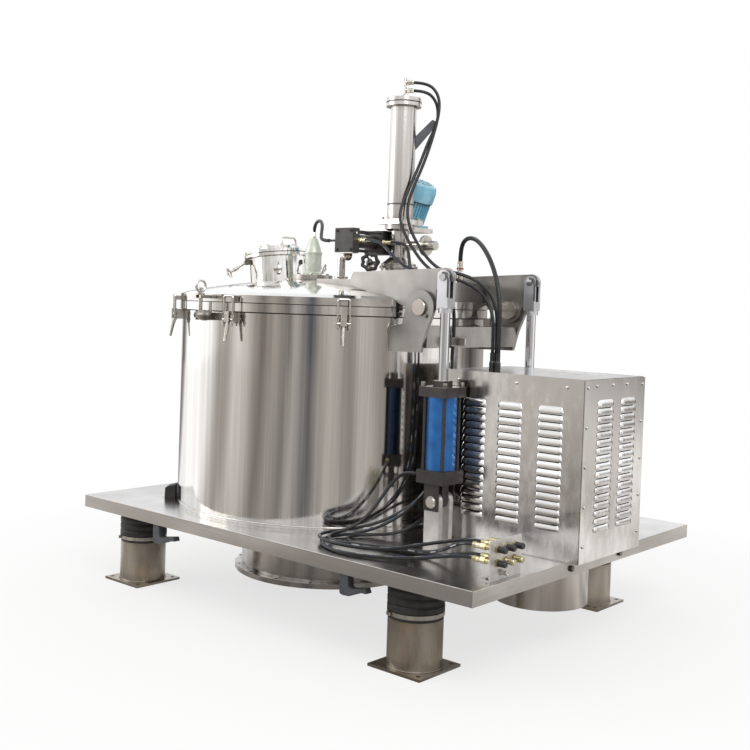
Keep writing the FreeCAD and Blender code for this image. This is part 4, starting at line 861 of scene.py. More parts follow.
# Pan-head screws round the end panel, and one low on the side sheet
screws = [((right_face, y, z), (1, 0, 0)) for y in (front + 0.022, back - 0.02)
          for z in (0.523, 0.694, 0.866, 1.037, 1.209)]
screws += [((right_face, y, top - 0.03), (1, 0, 0)) for y in (-0.17, -0.03, 0.1)]
repeat("end_panel_screws", pan_screw(0.008), screws, bright_steel, "frame")
repeat("side_sheet_screws", pan_screw(0.007),
       [((left + 0.03, front, 0.48), (0, -1, 0)), ((left + 0.40, front, 0.475), (0, -1, 0)),
        ((left + 0.08, front, 1.2), (0, -1, 0)), ((left + 0.4, front, 1.205), (0, -1, 0)),
        ((left + 0.66, front, 1.205), (0, -1, 0))], bright_steel, "frame")
seam = box_mesh("seam", (right_face - 0.0046, front - 0.0044, bottom + 0.004),
                (right_face - 0.0034, front - 0.0002, top - 0.003))
finish_piece("end_panel_seam", seam, joint_and_shade_black, "frame")
print("louvres:", 3 * 16 + 2 * 17)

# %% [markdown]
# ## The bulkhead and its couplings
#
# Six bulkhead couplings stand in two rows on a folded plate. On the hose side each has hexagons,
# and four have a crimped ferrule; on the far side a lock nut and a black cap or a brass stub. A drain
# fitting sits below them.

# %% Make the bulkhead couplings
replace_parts(finish_piece("coupling_cores", joined("cores", *[
    lathe("core", ((0, 0), (0.011, 0), (0.011, 0.158), (0, 0.158)), 20, along((1.111, y, z), (1.3, y, z)))
    for y in (-0.744, -0.682, -0.620) for z in (0.517, 0.573)]), brass, "frame"), "couplings")
hose_side, lock_nuts, ferrules, caps_black, stubs = [], [], [], [], []
for i, y in enumerate((-0.744, -0.682, -0.620)):
    for j, z in enumerate((0.517, 0.573)):
        fitted = i < 2
        if fitted:
            ferrules.append(lathe("ferrule",
                                  ((0.0085, 0), (0.0125, 0.002), (0.0125, 0.016), (0.0115, 0.018),
                                   (0.0115, 0.022), (0.0125, 0.024), (0.0125, 0.040), (0.009, 0.042)), 20,
                                  along((1.108, y, z), (1.3, y, z))))
        hose_side.append(prism("hex", hexagon(0.027), 0.040 if fitted else 0.075, 0.064 if fitted else 0.088,
                               along((1.110, y, z), (1.3, y, z))))
        hose_side.append(prism("hex", hexagon(0.031, 0.3), 0.088, 0.1095, along((1.110, y, z), (1.3, y, z))))
        lock_nuts.append(prism("hex", hexagon(0.030, 0.5), 0.1155, 0.125, along((1.110, y, z), (1.3, y, z))))
        target = caps_black if (i, j) in ((0, 0), (0, 1), (1, 1), (2, 1)) else stubs
        target.append(lathe("cap",
                            ((0, 0.125), (0.0135, 0.125), (0.0135, 0.158), (0.0115, 0.161), (0, 0.161)), 20,
                            along((1.110, y, z), (1.3, y, z))))
finish_piece("coupling_ferrules", joined("ferrules", *ferrules), brass, "frame")
finish_piece("coupling_hexes", joined("hexes", *hose_side), brass, "frame")
finish_piece("coupling_lock_nuts", joined("lock_nuts", *lock_nuts), brass, "frame")
finish_piece("coupling_caps", joined("caps", *caps_black), black_plastic, "frame")
finish_piece("coupling_stubs", joined("stubs", *stubs), brass, "frame")
drain = joined("drain",
               prism("hex", hexagon(0.024), 0.0, 0.01,
                     along((1.2252, -0.715, 0.476), (1.4, -0.715, 0.476))),
               lathe("stub", ((0, 0.01), (0.0095, 0.01), (0.0095, 0.034), (0.007, 0.036), (0, 0.030)), 18,
                     along((1.2252, -0.715, 0.476), (1.4, -0.715, 0.476))))
finish_piece("bulkhead_drain", drain, bright_steel, "frame")
repeat("bulkhead_bolts", hex_bolt(0.013, 0.006),
       [((1.197, -0.772, 0.450), (0, 0, 1)), ((1.197, -0.582, 0.450), (0, 0, 1))], satin_steel, "frame")
print("couplings", len(lock_nuts))

# %% [markdown]
# ## Feet
#
# Rubber bellows with two dark grooves sit over each post, closed by a band with a worm screw.
# The sole plates are welded on all round. Two dark stops hang under the platform's front edge.

# %% Name the platform's edges and finish the feet
platform_top, front_edge, right_edge, left_edge = 0.4443, -0.9493, 1.2593, -1.3395
casing_x = -0.41
feet = [(x, y) for x in (-1.074, 0.829) for y in (-0.753, 0.702)]
worms = []
for x, y in feet:
    worms.append(box_mesh("worm", (-0.012, -0.008, -0.008), (0.012, 0.006, 0.008), 0.002,
                          stand_at(x - 0.05, y - 0.119, 0.241) @ Matrix.Rotation(-0.4, 4, "Z")))
    weld_ring("sole_weld_%d" % (len(worms)), (x, y, 0.0135), 0.1215, 0.0028, heat_steel, "frame", 150)
finish_piece("band_worm_screws", joined("worms", *worms), bright_steel, "frame")


def stop_bracket(name, x, y, high, reach, lean):
    """A moulded stop under the platform: an upright arm, a rounded corner and a tongue to one side."""
    outline = [(0, 0), (0.046, 0), (0.05, -high * 0.55), (0.062, -high * 0.62), (reach, -high * 0.62 + lean),
               (reach + 0.008, -high * 0.62 + lean - 0.02), (reach - 0.02, -high * 0.78 + lean * 0.6),
               (0.055, -high * 0.98), (0.02, -high), (0.004, -high * 0.96), (0, -high * 0.9)]
    where = stand_at(x, y, 0.381) @ about("X", 90)
    return finish_piece(name, prism(name, outline, -0.018, 0.018, where), slate_plastic, "frame")


stop_bracket("platform_stop_left", -0.745, -0.925, 0.098, 0.165, 0.018)
stop_bracket("platform_stop_right", 0.557, -0.925, 0.092, 0.145, 0.016)
repeat("platform_edge_bolts", hex_bolt(0.024, 0.012, False),
       [((1.260, -0.218, 0.413), (1, 0, 0)), ((1.260, 0.217, 0.413), (1, 0, 0))], dark_cast, "frame")
print("feet", len(feet))

# %% [markdown]
# ## Welds, edges and bolts on the platform and casing
#
# A bead runs round the foot of the casing. Thin bars of brighter steel along the platform's top
# edges and up its front corner are painted highlights where the folded edges catch the light. The
# lift feet's pins get their heads.

# %% Weld and bolt the frame
lift_x, lift_y, lift_pin_z, lift_cap_z = 0.635, 0.364, 0.634, 1.166
weld_ring("casing_foot_weld", (casing_x, 0, 0.4605), 0.8285, 0.0045, bright_steel, "frame", 420)
# Painted highlights: thin bars of brighter steel up the front corner and along the front and right top edges.
corner_line = wire("corner", [(1.2595, -0.9495, 0.3815), (1.2595, -0.9495, 0.4445)], 0.0022, 6, 1)
finish_piece("platform_corner_weld", corner_line, bright_steel, "frame")
edges = [wire("edge", [(start, front_edge, platform_top), (right_edge, end, platform_top)], 0.0019, 6, 1)
         for start, end in ((left_edge, front_edge), (right_edge, -front_edge))]
finish_piece("platform_ground_edges", joined("edges", *edges), bright_steel, "frame")
beside_casing = stand_at(casing_x, 0, 0.4452) @ about("Z", 41.15) @ about("X", 90)
block = prism("block", [(-0.888, 0), (-0.830, 0), (-0.830, 0.076), (-0.872, 0.064), (-0.886, 0.056)], 0.06,
              0.13, beside_casing)
finish_piece("platform_rubber_block", block, black_rubber, "frame")
lug_screws = []
for y in (-lift_y, lift_y):
    for side in (-1, 1):
        lug_screws.append(stand_at(lift_x, y, lift_pin_z) @ about("X", -90 * side))
pin_heads = [lathe("pin_head", ((0, 0.054), (0.0265, 0.054), (0.0265, 0.066), (0.025, 0.068), (0, 0.068)),
                   36, seat) for seat in lug_screws]
finish_piece("lift_foot_pin_heads", joined("pin_heads", *pin_heads), bright_steel, "frame")
print("platform done")

# %% [markdown]
# ## The lift cylinders
#
# The end caps are held on by tie rods whose nuts show above the upper cap and below the lower
# one; the nuts above the upper cap are set here. The pin through each fork is kept by a spring clip
# that wraps round the fork's side, and a brass union takes the hose.

# %% Finish the lift cylinders
def bored_plate(name, half_wide, bottom, top, bore, low, high, where):
    """An upright plate with a round hole at its origin, from low to high along its own Z."""
    rows, steps = [], 64
    for k in range(steps):
        a = 2 * math.pi * (k + 0.5) / steps
        c, s = math.cos(a), math.sin(a)
        out = min(half_wide / max(abs(c), 1e-6), (top if s > 0 else -bottom) / max(abs(s), 1e-6))
        rows.append([(bore * c, bore * s, low), (out * c, out * s, low), (out * c, out * s, high),
                     (bore * c, bore * s, high)])
    faces = [(4 * k + m, 4 * ((k + 1) % steps) + m, 4 * ((k + 1) % steps) + (m + 1) % 4, 4 * k + (m + 1) % 4)
             for k in range(steps) for m in range(4)]
    return mesh_from(name, [v for row in rows for v in row], faces, where)


for tail, cy in (("front", -lift_y), ("rear", lift_y)):
    body = "barrel_" + tail
    nuts = []
    for sx in (-1, 1):
        for sy in (-1, 1):
            nuts.append(((lift_x + sx * 0.064, cy + sy * 0.064, lift_cap_z), (0, 0, 1)))
    repeat("tie_nuts_" + tail, socket_screw(0.0115, 0.022), nuts, dark_cast, body)
    cap_middle = stand_at(lift_x, cy, lift_cap_z)
    gland = box_mesh("gland", (-0.033, -0.033, 0.0), (0.033, 0.033, 0.027), 0.002, cap_middle)
    finish_piece("rod_gland_" + tail, gland, black_cast, body)
    turned = joined("faces",
                    box_mesh("cap_face", (-0.0772, -0.0772, -0.001), (0.0772, 0.0772, 0.0012), 0.0,
                             cap_middle),
                    box_mesh("gland_face", (-0.0325, -0.0325, 0.026), (0.0325, 0.0325, 0.0295), 0.001,
                             cap_middle))
    finish_piece("machined_faces_" + tail, turned, satin_steel, body)
    union_y = -0.395 if tail == "front" else 0.398
    fit = joined("fit",
                 prism("hex", hexagon(0.027), 0.0, 0.013,
                       along((0.557, union_y, 0.751), (0.4, union_y, 0.751))),
                 lathe("sleeve", ((0.0115, 0.013), (0.0125, 0.014), (0.0125, 0.026), (0.009, 0.028)), 20,
                       along((0.557, union_y, 0.751), (0.4, union_y, 0.751))))
    finish_piece("lift_union_" + tail, fit, brass, body)
    cheeks = [bored_plate("cheek", 0.042, -0.040, 0.0865, 0.0288, low, low + 0.0065,
                          stand_at(lift_x, cy, lift_pin_z) @ about("X", 90))
              for low in (-0.0615, 0.055)]
    finish_piece("barrel_fork_" + tail, joined("cheeks", *cheeks), black_cast, body)
    rod_body = "rod_" + tail
    top_z = 1.668
    clip = wire("clip",
                [(0.640, cy - 0.0395, top_z + 0.024), (0.655, cy - 0.0395, top_z + 0.024),
                 (0.6735, cy - 0.0395, top_z - 0.004), (0.6735, cy - 0.0395, top_z - 0.09)], 0.0045, 8, 5)
    finish_piece("fork_clip_" + tail, clip, slate_plastic, rod_body)
    print(tail, "cylinder dressed")

# %% [markdown]
# ## The scraper unit
#
# A square flange bolts the column to the housing, and a ring of screws holds its cap. The swing
# cylinder has four tie-rod nuts on each head. A lobed handwheel works the valve beside the
# housing, and the motor behind it has a ribbed frame, a fan cowl and a foot.

# %% Finish the scraper unit
column_x = 0.04
picture_right = Vector((0.753, 0.658, 0))
repeat("column_base_bolts", hex_bolt(0.019, 0.009),
       [((column_x + sx * 0.066, sy * 0.066, 1.981), (0, 0, 1)) for sx in (-1, 1) for sy in (-1, 1)],
       bright_steel, "lid")
repeat("column_cap_bolts", hex_bolt(0.013, 0.007), on_circle(column_x, 0, 2.611, 0.079, range(20, 380, 60)),
       bright_steel, "lid")
weld_ring("column_foot_weld", (column_x, 0, 1.982), 0.0695, 0.0025, satin_steel, "lid", 80)
groove = lathe("groove", ((0.0927, 0.0), (0.0927, 0.005), (0.0915, 0.005), (0.0915, 0.0)), 64,
               stand_at(column_x, 0, 2.587), True)
finish_piece("column_cap_joint", groove, joint_and_shade_black, "lid")
repeat("housing_foot_bolts", hex_bolt(0.014, 0.008),
       on_circle(column_x, 0, 1.6763, 0.099, [a for a in range(15, 375, 60) if not 150 < a < 210]),
       bright_steel, "lid")
ring = lathe("clamp_ring", ((0.0925, 0), (0.101, 0.002), (0.101, 0.014), (0.0925, 0.016)), 48,
             stand_at(column_x, 0, 1.725), True)
finish_piece("housing_clamp_ring", ring, satin_steel, "lid")
tie = lathe("tie", ((0.0682, 0), (0.0705, 0), (0.0705, 0.006), (0.0682, 0.006)), 48,
            stand_at(column_x, 0, 2.058), True)
finish_piece("column_tie_band", tie, slate_plastic, "lid")
shoulder = prism("arm", [(0.066, 0), (0.150, 0.088), (0.166, 0.082), (0.166, 0.05), (0.066, -0.075)],
                 -0.004, 0.004, stand_at(column_x, 0, 2.42) @ about("Z", 41) @ about("X", 90))
finish_piece("hose_guide_arm", shoulder, slate_plastic, "lid")

nuts = []
for y, way in ((-0.301, -1), (0.022, 1)):
    for sx in (-1, 1):
        for sz in (-1, 1):
            nuts.append(((-0.078 + sx * 0.048, y, 1.859 + sz * 0.048), (0, way, 0)))
repeat("swing_head_nuts", socket_screw(0.008, 0.006), nuts, black_cast, "lid")
plug = [((-0.016, -0.276, 1.895), (1, 0, 0)), ((-0.016, -0.03, 1.895), (1, 0, 0))]
repeat("swing_head_plugs", hex_bolt(0.011, 0.005, False), plug, bright_steel, "lid")
fit_parts = []
for y, z in ((-0.262, 1.859), (-0.062, 1.859)):
    way = along((-0.016, y, z), (0.4, y, z))
    fit_parts.append(prism("hex", hexagon(0.026), 0.0, 0.014, way))
    fit_parts.append(prism("hex", hexagon(0.024, 0.4), 0.018, 0.032, way))
    fit_parts.append(lathe("sleeve", ((0.0105, 0.032), (0.012, 0.034), (0.012, 0.054), (0.009, 0.056)), 20,
                           way))
finish_piece("swing_unions", joined("unions", *fit_parts), brass, "lid")
cap_parts = []
for z in (2.698, 2.656):
    start = Vector((column_x, 0, z)) + picture_right * 0.012
    cap_parts.append(prism("hex", hexagon(0.026), 0.0, 0.014, along(start, start + picture_right)))
    cap_parts.append(lathe("sleeve", ((0.0105, 0.014), (0.0118, 0.016), (0.0118, 0.0355), (0.009, 0.0365)),
                           20, along(start, start + picture_right)))
finish_piece("column_unions", joined("column_unions", *cap_parts), nickel, "lid")
gland = joined("gland", prism("hex", hexagon(0.034), 0.012, 0.026, stand_at(0.385, 0.075, 1.658)),
               prism("hex", hexagon(0.03, 0.5), 0.052, 0.066, stand_at(0.385, 0.075, 1.658)))
finish_piece("deck_gland_hexes", gland, nickel, "lid")
collar = lathe("collar", ((0.0145, 0.069), (0.0185, 0.070), (0.0185, 0.076), (0.0145, 0.077)), 24,
               stand_at(0.385, 0.075, 1.658))
finish_piece("deck_gland_seal", collar, red_seal, "lid")

wheel_at = Vector((0.050, -0.238, 1.750))
wheel_way = Vector((0.62, -0.78, 0.02)).normalized()
seat = along(wheel_at, wheel_at + wheel_way)
lobes = []
count = 96
for k in range(count):
    a = 2 * math.pi * k / count
    lobes.append((0.047 + 0.0035 * math.cos(7 * a), a))
rim_verts, rim_faces, sides = [], [], 8
for k, (reach, a) in enumerate(lobes):
    for m in range(sides):
        b = 2 * math.pi * m / sides
        r = reach - 0.009 + 0.010 * math.cos(b)
        rim_verts.append((r * math.cos(a), r * math.sin(a), 0.008 * math.sin(b)))
for k in range(count):
    for m in range(sides):
        n, j = (m + 1) % sides, (k + 1) % count
        rim_faces.append((k * sides + m, k * sides + n, j * sides + n, j * sides + m))
wheel = joined("wheel", mesh_from("rim", rim_verts, rim_faces, seat),
               lathe("hub", ((0, -0.012), (0.015, -0.012), (0.015, 0.006), (0.011, 0.010), (0, 0.010)), 24,
                     seat),
               *[box_mesh("spoke", (-0.005, 0, -0.003), (0.005, 0.034, 0.003), 0.001,
                          seat @ Matrix.Rotation(a, 4, "Z"))
                 for a in (0.5, 0.5 + 2 * math.pi / 3, 0.5 + 4 * math.pi / 3)])
finish_piece("valve_handwheel", wheel, black_plastic, "lid", 60)
stem = joined("stem",
              lathe("stem",
                    ((0, 0.010), (0.006, 0.010), (0.006, -0.05), (0.016, -0.052), (0.016, -0.075),
                     (0.026, -0.078), (0.026, -0.125), (0.018, -0.13), (0.018, -0.16), (0, -0.16)), 28,
                    seat))
finish_piece("valve_body", stem, satin_steel, "lid")
body_at = wheel_at - wheel_way * 0.10
leg = lathe("valve_leg",
            ((0.020, 1.6583), (0.034, 1.6583), (0.034, 1.668), (0.020, 1.672), (0.019, 1.752), (0, 1.756)),
            28, stand_at(body_at.x, body_at.y, 0))
finish_piece("valve_leg", leg, satin_steel, "lid")

# A short bright elbow on the lid in front of the swing cylinder
elbow = wire("elbow",
             [(-0.160, -0.225, 1.640), (-0.160, -0.225, 1.735), (-0.160, -0.225, 1.776),
              (-0.115, -0.225, 1.790)], 0.020, 20, 8)
elbow_set = joined("elbow_set", elbow,
                   lathe("flange", ((0.020, 0), (0.036, 0), (0.036, 0.010), (0.020, 0.012)), 28,
                         stand_at(-0.160, -0.225, 1.664)),
                   lathe("flange", ((0.020, 0), (0.032, 0), (0.032, 0.009), (0.020, 0.010)), 28,
                         along((-0.124, -0.225, 1.789), (0.1, -0.225, 1.8))))
finish_piece("lid_elbow", elbow_set, neck_steel, "lid", 60)
finish_piece("swing_guard_plate",
             box_mesh("guard", (-0.140, -0.296, 1.7925), (-0.020, -0.252, 1.7968), 0.001), satin_steel,
             "lid")
print("scraper unit dressed")

# %% [markdown]
# ## The motor
#
# The swing motor leans back behind the column. Its frame has cooling ribs, its fan end a plain
# cowl with a step, and a terminal box sits on its side.

# %% Rib the motor
motor_turn = stand_at(-0.09, 0.192, 1.971) @ about("Y", 23)
barrel = lathe("motor_frame",
               ((0, -0.02), (0.066, -0.02), (0.066, 0.02), (0.092, 0.026), (0.092, 0.034), (0.086, 0.036),
                (0.086, 0.158), (0.104, 0.160), (0.106, 0.166), (0.106, 0.218), (0.098, 0.246),
                (0.080, 0.2545), (0.030, 0.2545), (0.028, 0.250), (0, 0.250)), 56)
ribs = []
for k in range(36):
    a = 2 * math.pi * k / 36
    ribs.append(box_mesh("rib", (0.084, -0.0013, 0.038), (0.098, 0.0013, 0.156), 0.0,
                         Matrix.Rotation(a, 4, "Z")))
terminal = box_mesh("terminal", (-0.035, -0.114, 0.045), (0.035, -0.080, 0.125), 0.006)
foot_plate = box_mesh("motor_foot", (-0.140, 0.096, 1.9552), (0.0, 0.292, 1.971), 0.003)
frame_mesh = joined("motor", barrel, terminal, *ribs)
frame_mesh.transform(motor_turn)
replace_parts(finish_piece("motor_frame", joined("motor_all", frame_mesh, foot_plate), motor_blue, "lid", 30),
            "swing_motor")
slots = []
for reach in (0.040, 0.052, 0.064):
    for k in range(10):
        middle = 2 * math.pi * k / 10 + 0.2
        corners = [(r * math.cos(middle + s * 0.22), r * math.sin(middle + s * 0.22))
                   for r, sides in ((reach, (-1, 1)), (reach + 0.005, (1, -1))) for s in sides]
        slots.append(prism("slot", corners, 0.2544, 0.2549))
grille = joined("grille", *slots)
grille.transform(motor_turn)
# The cowl's slots are thin near-black plates on its face: painted shade where the openings would show the
# dark inside.
finish_piece("motor_cowl_slots", grille, joint_and_shade_black, "lid")
band = lathe("cowl_gap", ((0.1045, 0.156), (0.1045, 0.1595), (0.0865, 0.1595), (0.0865, 0.156)), 56,
             motor_turn, True)
finish_piece("motor_cowl_gap", band, joint_and_shade_black, "lid")
print("ribs", len(ribs))

# %% [markdown]
# ## The inspection port
#
# The port leans with the dome. Its cover carries a sight glass under a bolted ring, with a bar
# handle across two of the ring's bolts. Its swing bolts are released and hang from their ears,
# each an eye, a bar, a collar and a T-nut. A small clamped fitting sits low on the neck.

# %% Finish the port
crown = (0.800 ** 2 + 0.086 ** 2) / (2 * 0.086)
port_z = 1.525 + 0.136 - crown + math.sqrt(crown ** 2 - 0.436 ** 2)
port_turn = stand_at(-0.846, 0, port_z) @ about("Y", -6.5)
cover_high = max((port_turn.inverted() @ v.co).z for v in nodes["port_cover"].data.vertices)
ring_bolts = []
for k in range(8):
    a = math.radians(-34 + k * 45)
    at = port_turn @ Vector((0.104 * math.cos(a), 0.104 * math.sin(a), 0.211))
    ring_bolts.append((at, port_turn.to_3x3() @ Vector((0, 0, 1))))
repeat("sight_ring_bolts", hex_bolt(0.015, 0.008), ring_bolts, bright_steel, "hatch")
glass, tree, skin = new_material("sight_glass")
tree.links.new(shades(tree, pattern(tree, 0.08), ((0.3, "#2C3533"), (0.7, "#424E4B"))),
               skin.inputs["Base Color"])
skin.inputs["Roughness"].default_value = 0.05
skin.inputs["Coat Weight"].default_value = 1.0
finish_piece("sight_glass",
             lathe("glass", ((0, 0.199), (0.0885, 0.199), (0.0885, 0.203), (0, 0.203)), 48, port_turn),
             glass, "hatch")
handle = wire("handle",
              [(0.085, -0.058, 0.206), (0.085, -0.058, 0.259), (0.089, 0.051, 0.259),
               (0.089, 0.051, 0.206)], 0.006, 12, 5)
handle.transform(port_turn)
finish_piece("port_handle", handle, bright_steel, "hatch")
weld_ring("port_neck_weld", (0, 0, -0.004), 0.1725, 0.004, neck_steel, "lid", 200, port_turn)


def swing_bolt(name, eye_at, tip, body):
    """A released swing bolt: eye, round bar with a collar half way, and a T-nut at its tip."""
    eye_at, tip = Vector(eye_at), Vector(tip)
    way = along(eye_at, tip)
    run = (tip - eye_at).length
    eye = lathe("eye", ((0.008, -0.008), (0.016, -0.008), (0.016, 0.008), (0.008, 0.008)), 20,
                way @ about("Y", 90), True)
    bar = lathe("bar",
                ((0, 0.012), (0.0065, 0.012), (0.0065, run * 0.45), (0.0115, run * 0.47),
                 (0.0115, run * 0.68), (0.0065, run * 0.70), (0.0065, run + 0.006), (0, run + 0.008)), 16,
                way)
    cross = lathe("cross",
                  ((0, -0.030), (0.007, -0.029), (0.0085, -0.012), (0.012, -0.011), (0.012, 0.011),
                   (0.0085, 0.012), (0.007, 0.029), (0, 0.030)), 16,
                  way @ stand_at(0, 0, run * 0.94) @ about("X", 90))
    finish_piece(name, joined(name, eye, bar, cross), satin_steel, body)


def port_point(s, c, z):
    """A point s to the picture's right of the port, c toward the camera, at height z."""
    return (-0.846 + 0.753 * s + 0.658 * c, 0.658 * s - 0.753 * c, z)


for name, eye_at, tip in (("port_bolt_left", port_point(-0.198, 0.035, 1.752),
                           port_point(-0.292, 0.10, 1.682)),
                          ("port_bolt_right", port_point(0.172, 0.110, 1.768),
                           port_point(0.262, 0.175, 1.722))):
    swing_bolt(name, eye_at, tip, "lid")
    inward = (Vector((-0.846, 0, eye_at[2])) - Vector(eye_at)).normalized()
    ear = box_mesh(name + "_ear", (-0.013, -0.013, -0.008), (0.013, 0.013, 0.034), 0.003,
                   along(eye_at, Vector(eye_at) + inward))
    finish_piece(name + "_ear", ear, dark_cast, "lid")
valve_at = Vector(port_point(0.0, 0.168, 1.716))
out = Vector((0.658, -0.753, 0.0))
valve = joined("valve",
               lathe("stub",
                     ((0.014, 0), (0.014, 0.030), (0.024, 0.031), (0.024, 0.041), (0.020, 0.043),
                      (0, 0.047)), 28, along(valve_at, valve_at + out)),
               lathe("pin", ((0, 0), (0.006, 0.0), (0.006, 0.020), (0, 0.022)), 14,
                     along(valve_at + out * 0.036 + Vector((0, 0, 0.020)),
                           valve_at + out * 0.036 + Vector((0, 0, 0.1)))))
finish_piece("port_fitting", valve, neck_steel, "lid", 50)
print("port leans", 6.5, "degrees, cover top", round(cover_high, 3))

# %% [markdown]
# ## The lamp
#
# The lamp stands on a bolted pad. Its cast body has a waist band, and a gland with a coloured
# seal takes the conduit at its top.

# %% Finish the lamp
lamp_x, lamp_y = -0.506, -0.084
pad_top = max(v.co.z for v in nodes["lamp_pad"].data.vertices)
pad_bolts = on_circle(lamp_x, lamp_y, pad_top - 0.0004, 0.092, [10 + 60 * k for k in range(6)])
repeat("lamp_pad_bolts", hex_bolt(0.015, 0.009), pad_bolts, bright_steel, "lid")
waist = lathe("waist", ((0.043, 0.0), (0.050, 0.002), (0.050, 0.010), (0.043, 0.012)), 40,
              stand_at(lamp_x, lamp_y, 1.800), True)
finish_piece("lamp_waist", waist, lamp_grey, "lid")
top_hex = joined("lamp_top", prism("hex", hexagon(0.040), 0.0, 0.012, stand_at(lamp_x, lamp_y, 1.868)))
finish_piece("lamp_gland_hex", top_hex, nickel, "lid")
finish_piece("lamp_gland_seal",
             lathe("seal", ((0.0185, 0), (0.0225, 0.001), (0.0225, 0.005), (0.0185, 0.006)), 24,
                   stand_at(lamp_x, lamp_y, 1.861), True), red_seal, "lid")
sleeve = lathe("sleeve",
               ((0.0095, 0), (0.0125, 0.001), (0.0125, 0.030), (0.0112, 0.032), (0.0112, 0.044),
                (0.0095, 0.045)), 24, stand_at(lamp_x, lamp_y, 1.888), True)
finish_piece("lamp_conduit_sleeve", sleeve, nickel, "lid")
print("lamp pad bolts", len(pad_bolts))

# %% [markdown]
# ## The rim, clamps and ring bolt
#
# A dark line shows at the gasket, and a thin near-black ring under the casing's rim is painted
# shadow where the flange's underside is in shade. The ring bolt stands in a rounded barrel lug.

# %% Finish the rim
# Painted shadow: a thin near-black ring just under the rim's flange, where its underside is in shade.
shadow = lathe("rim_shadow", ((0.8268, 0.0), (0.8312, 0.0), (0.8312, 0.0055), (0.8268, 0.0055)), 160,
               stand_at(casing_x, 0, 1.4743), True)
finish_piece("rim_joint", shadow, joint_and_shade_black, "frame")
turn = math.radians(267.6)
radial, tangent = Vector((math.cos(turn), math.sin(turn), 0)), Vector((-math.sin(turn), math.cos(turn), 0))
hub_at = Vector((casing_x, 0, 1.456)) + radial * 0.920
start = hub_at - tangent * 0.033
barrel = lathe("barrel",
               ((0, 0), (0.016, 0.001), (0.021, 0.008), (0.021, 0.013), (0.017, 0.014), (0.017, 0.018),
                (0.022, 0.022), (0.0265, 0.050), (0.026, 0.080), (0.020, 0.100), (0.010, 0.108),
                (0, 0.109)), 28, along(start, start + tangent))
finish_piece("ring_bolt_lug", barrel, dark_cast, "frame", 50)
second = wire("post", [tuple(hub_at + tangent * 0.052 - radial * 0.02 + Vector((0, 0, 0.012))),
                       tuple(hub_at + tangent * 0.052 - radial * 0.02 + Vector((0, 0, 0.066)))], 0.008, 12, 1)
finish_piece("ring_lug_post", second, satin_steel, "frame")
print("rim done")

# %% [markdown]
# ## Hinge plates and pins
#
# Each hinge plate is cut from 20 mm plate: a foot that stands against the casing, a step under
# the rim and a round boss about the pin. The pin has a plain turned head, and a screw beside it
# in the plate keeps it from turning.

# %% Make the hinge plates and pins
plates, pins, keeps = [], [], []
hinge_at = Vector((0.506, 0, 1.529))
boss = [(0.082 * math.cos(math.radians(a)), 0.082 * math.sin(math.radians(a))) for a in range(-24, 176, 7)]
outline = [(-0.186, -0.214), (0.012, -0.211), (0.040, -0.113)] + boss + [(-0.104, -0.082), (-0.186, -0.094)]
for side in (-1, 1):
    plate = prism("plate", outline, -0.010, 0.010, stand_at(hinge_at.x, side * 0.385, hinge_at.z) @
                  about("X", 90))
    for corner in plate.vertices:
        if corner.co.x < 0.322:
            corner.co.x += 0.0095 if abs(corner.co.y) < 0.385 else -0.0015
    plates.append(plate)
    pins.append(lathe("pin",
                      ((0, 0), (0.048, 0), (0.048, 0.020), (0.034, 0.020), (0.034, 0.0615),
                       (0.0385, 0.0615), (0.0385, 0.0722), (0.0372, 0.0735), (0, 0.0735)), 48,
                      along((hinge_at.x, side * 0.3335, hinge_at.z), (hinge_at.x, side, hinge_at.z))))
    keeps.append(((hinge_at.x + 0.040, side * 0.395, hinge_at.z - 0.038), (0, side, 0)))
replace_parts(finish_piece("bored_hinge_plates", joined("hinge_plates", *plates), bracket_steel, "frame"),
            "hinge_brackets")
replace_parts(finish_piece("headed_hinge_pins", joined("headed_pins", *pins), bright_steel, "frame"),
            "hinge_pins")
repeat("hinge_keep_screws", hex_bolt(0.013, 0.007), keeps, dark_cast, "frame")
bead = joined("beads",
              *[wire("bead",
                     [(0.3175, side * 0.3955, 1.316), (0.3175, side * 0.3955, 1.434),
                      (0.400, side * 0.3955, 1.446)], 0.0032, 6, 2) for side in (-1, 1)])
finish_piece("hinge_plate_welds", bead, cast_steel, "frame")
tongue = bored_plate("tongue", 0.063, -0.018, 0.018, 0.005, -0.004, 0.004,
                     stand_at(0.564, -0.190, 1.371) @ about("X", 90))
finish_piece("hinge_beam_tongue", tongue, satin_steel, "frame")
print("hinge done")

# %% [markdown]
# ## Floor, backdrop and light
#
# The floor is a pale plane that keeps the machine's shadow, and the world is plain white to the
# camera. A mirror in an empty white room has nothing to draw its shape with, so polished metal
# sees a works hall instead: bright doors to the left and right of the camera, a darker wall with
# posts behind it, concrete below and a white sky above. The wall is one ring of shades, laid out
# by the compass angle from the camera, and the floor repeats it faintly.

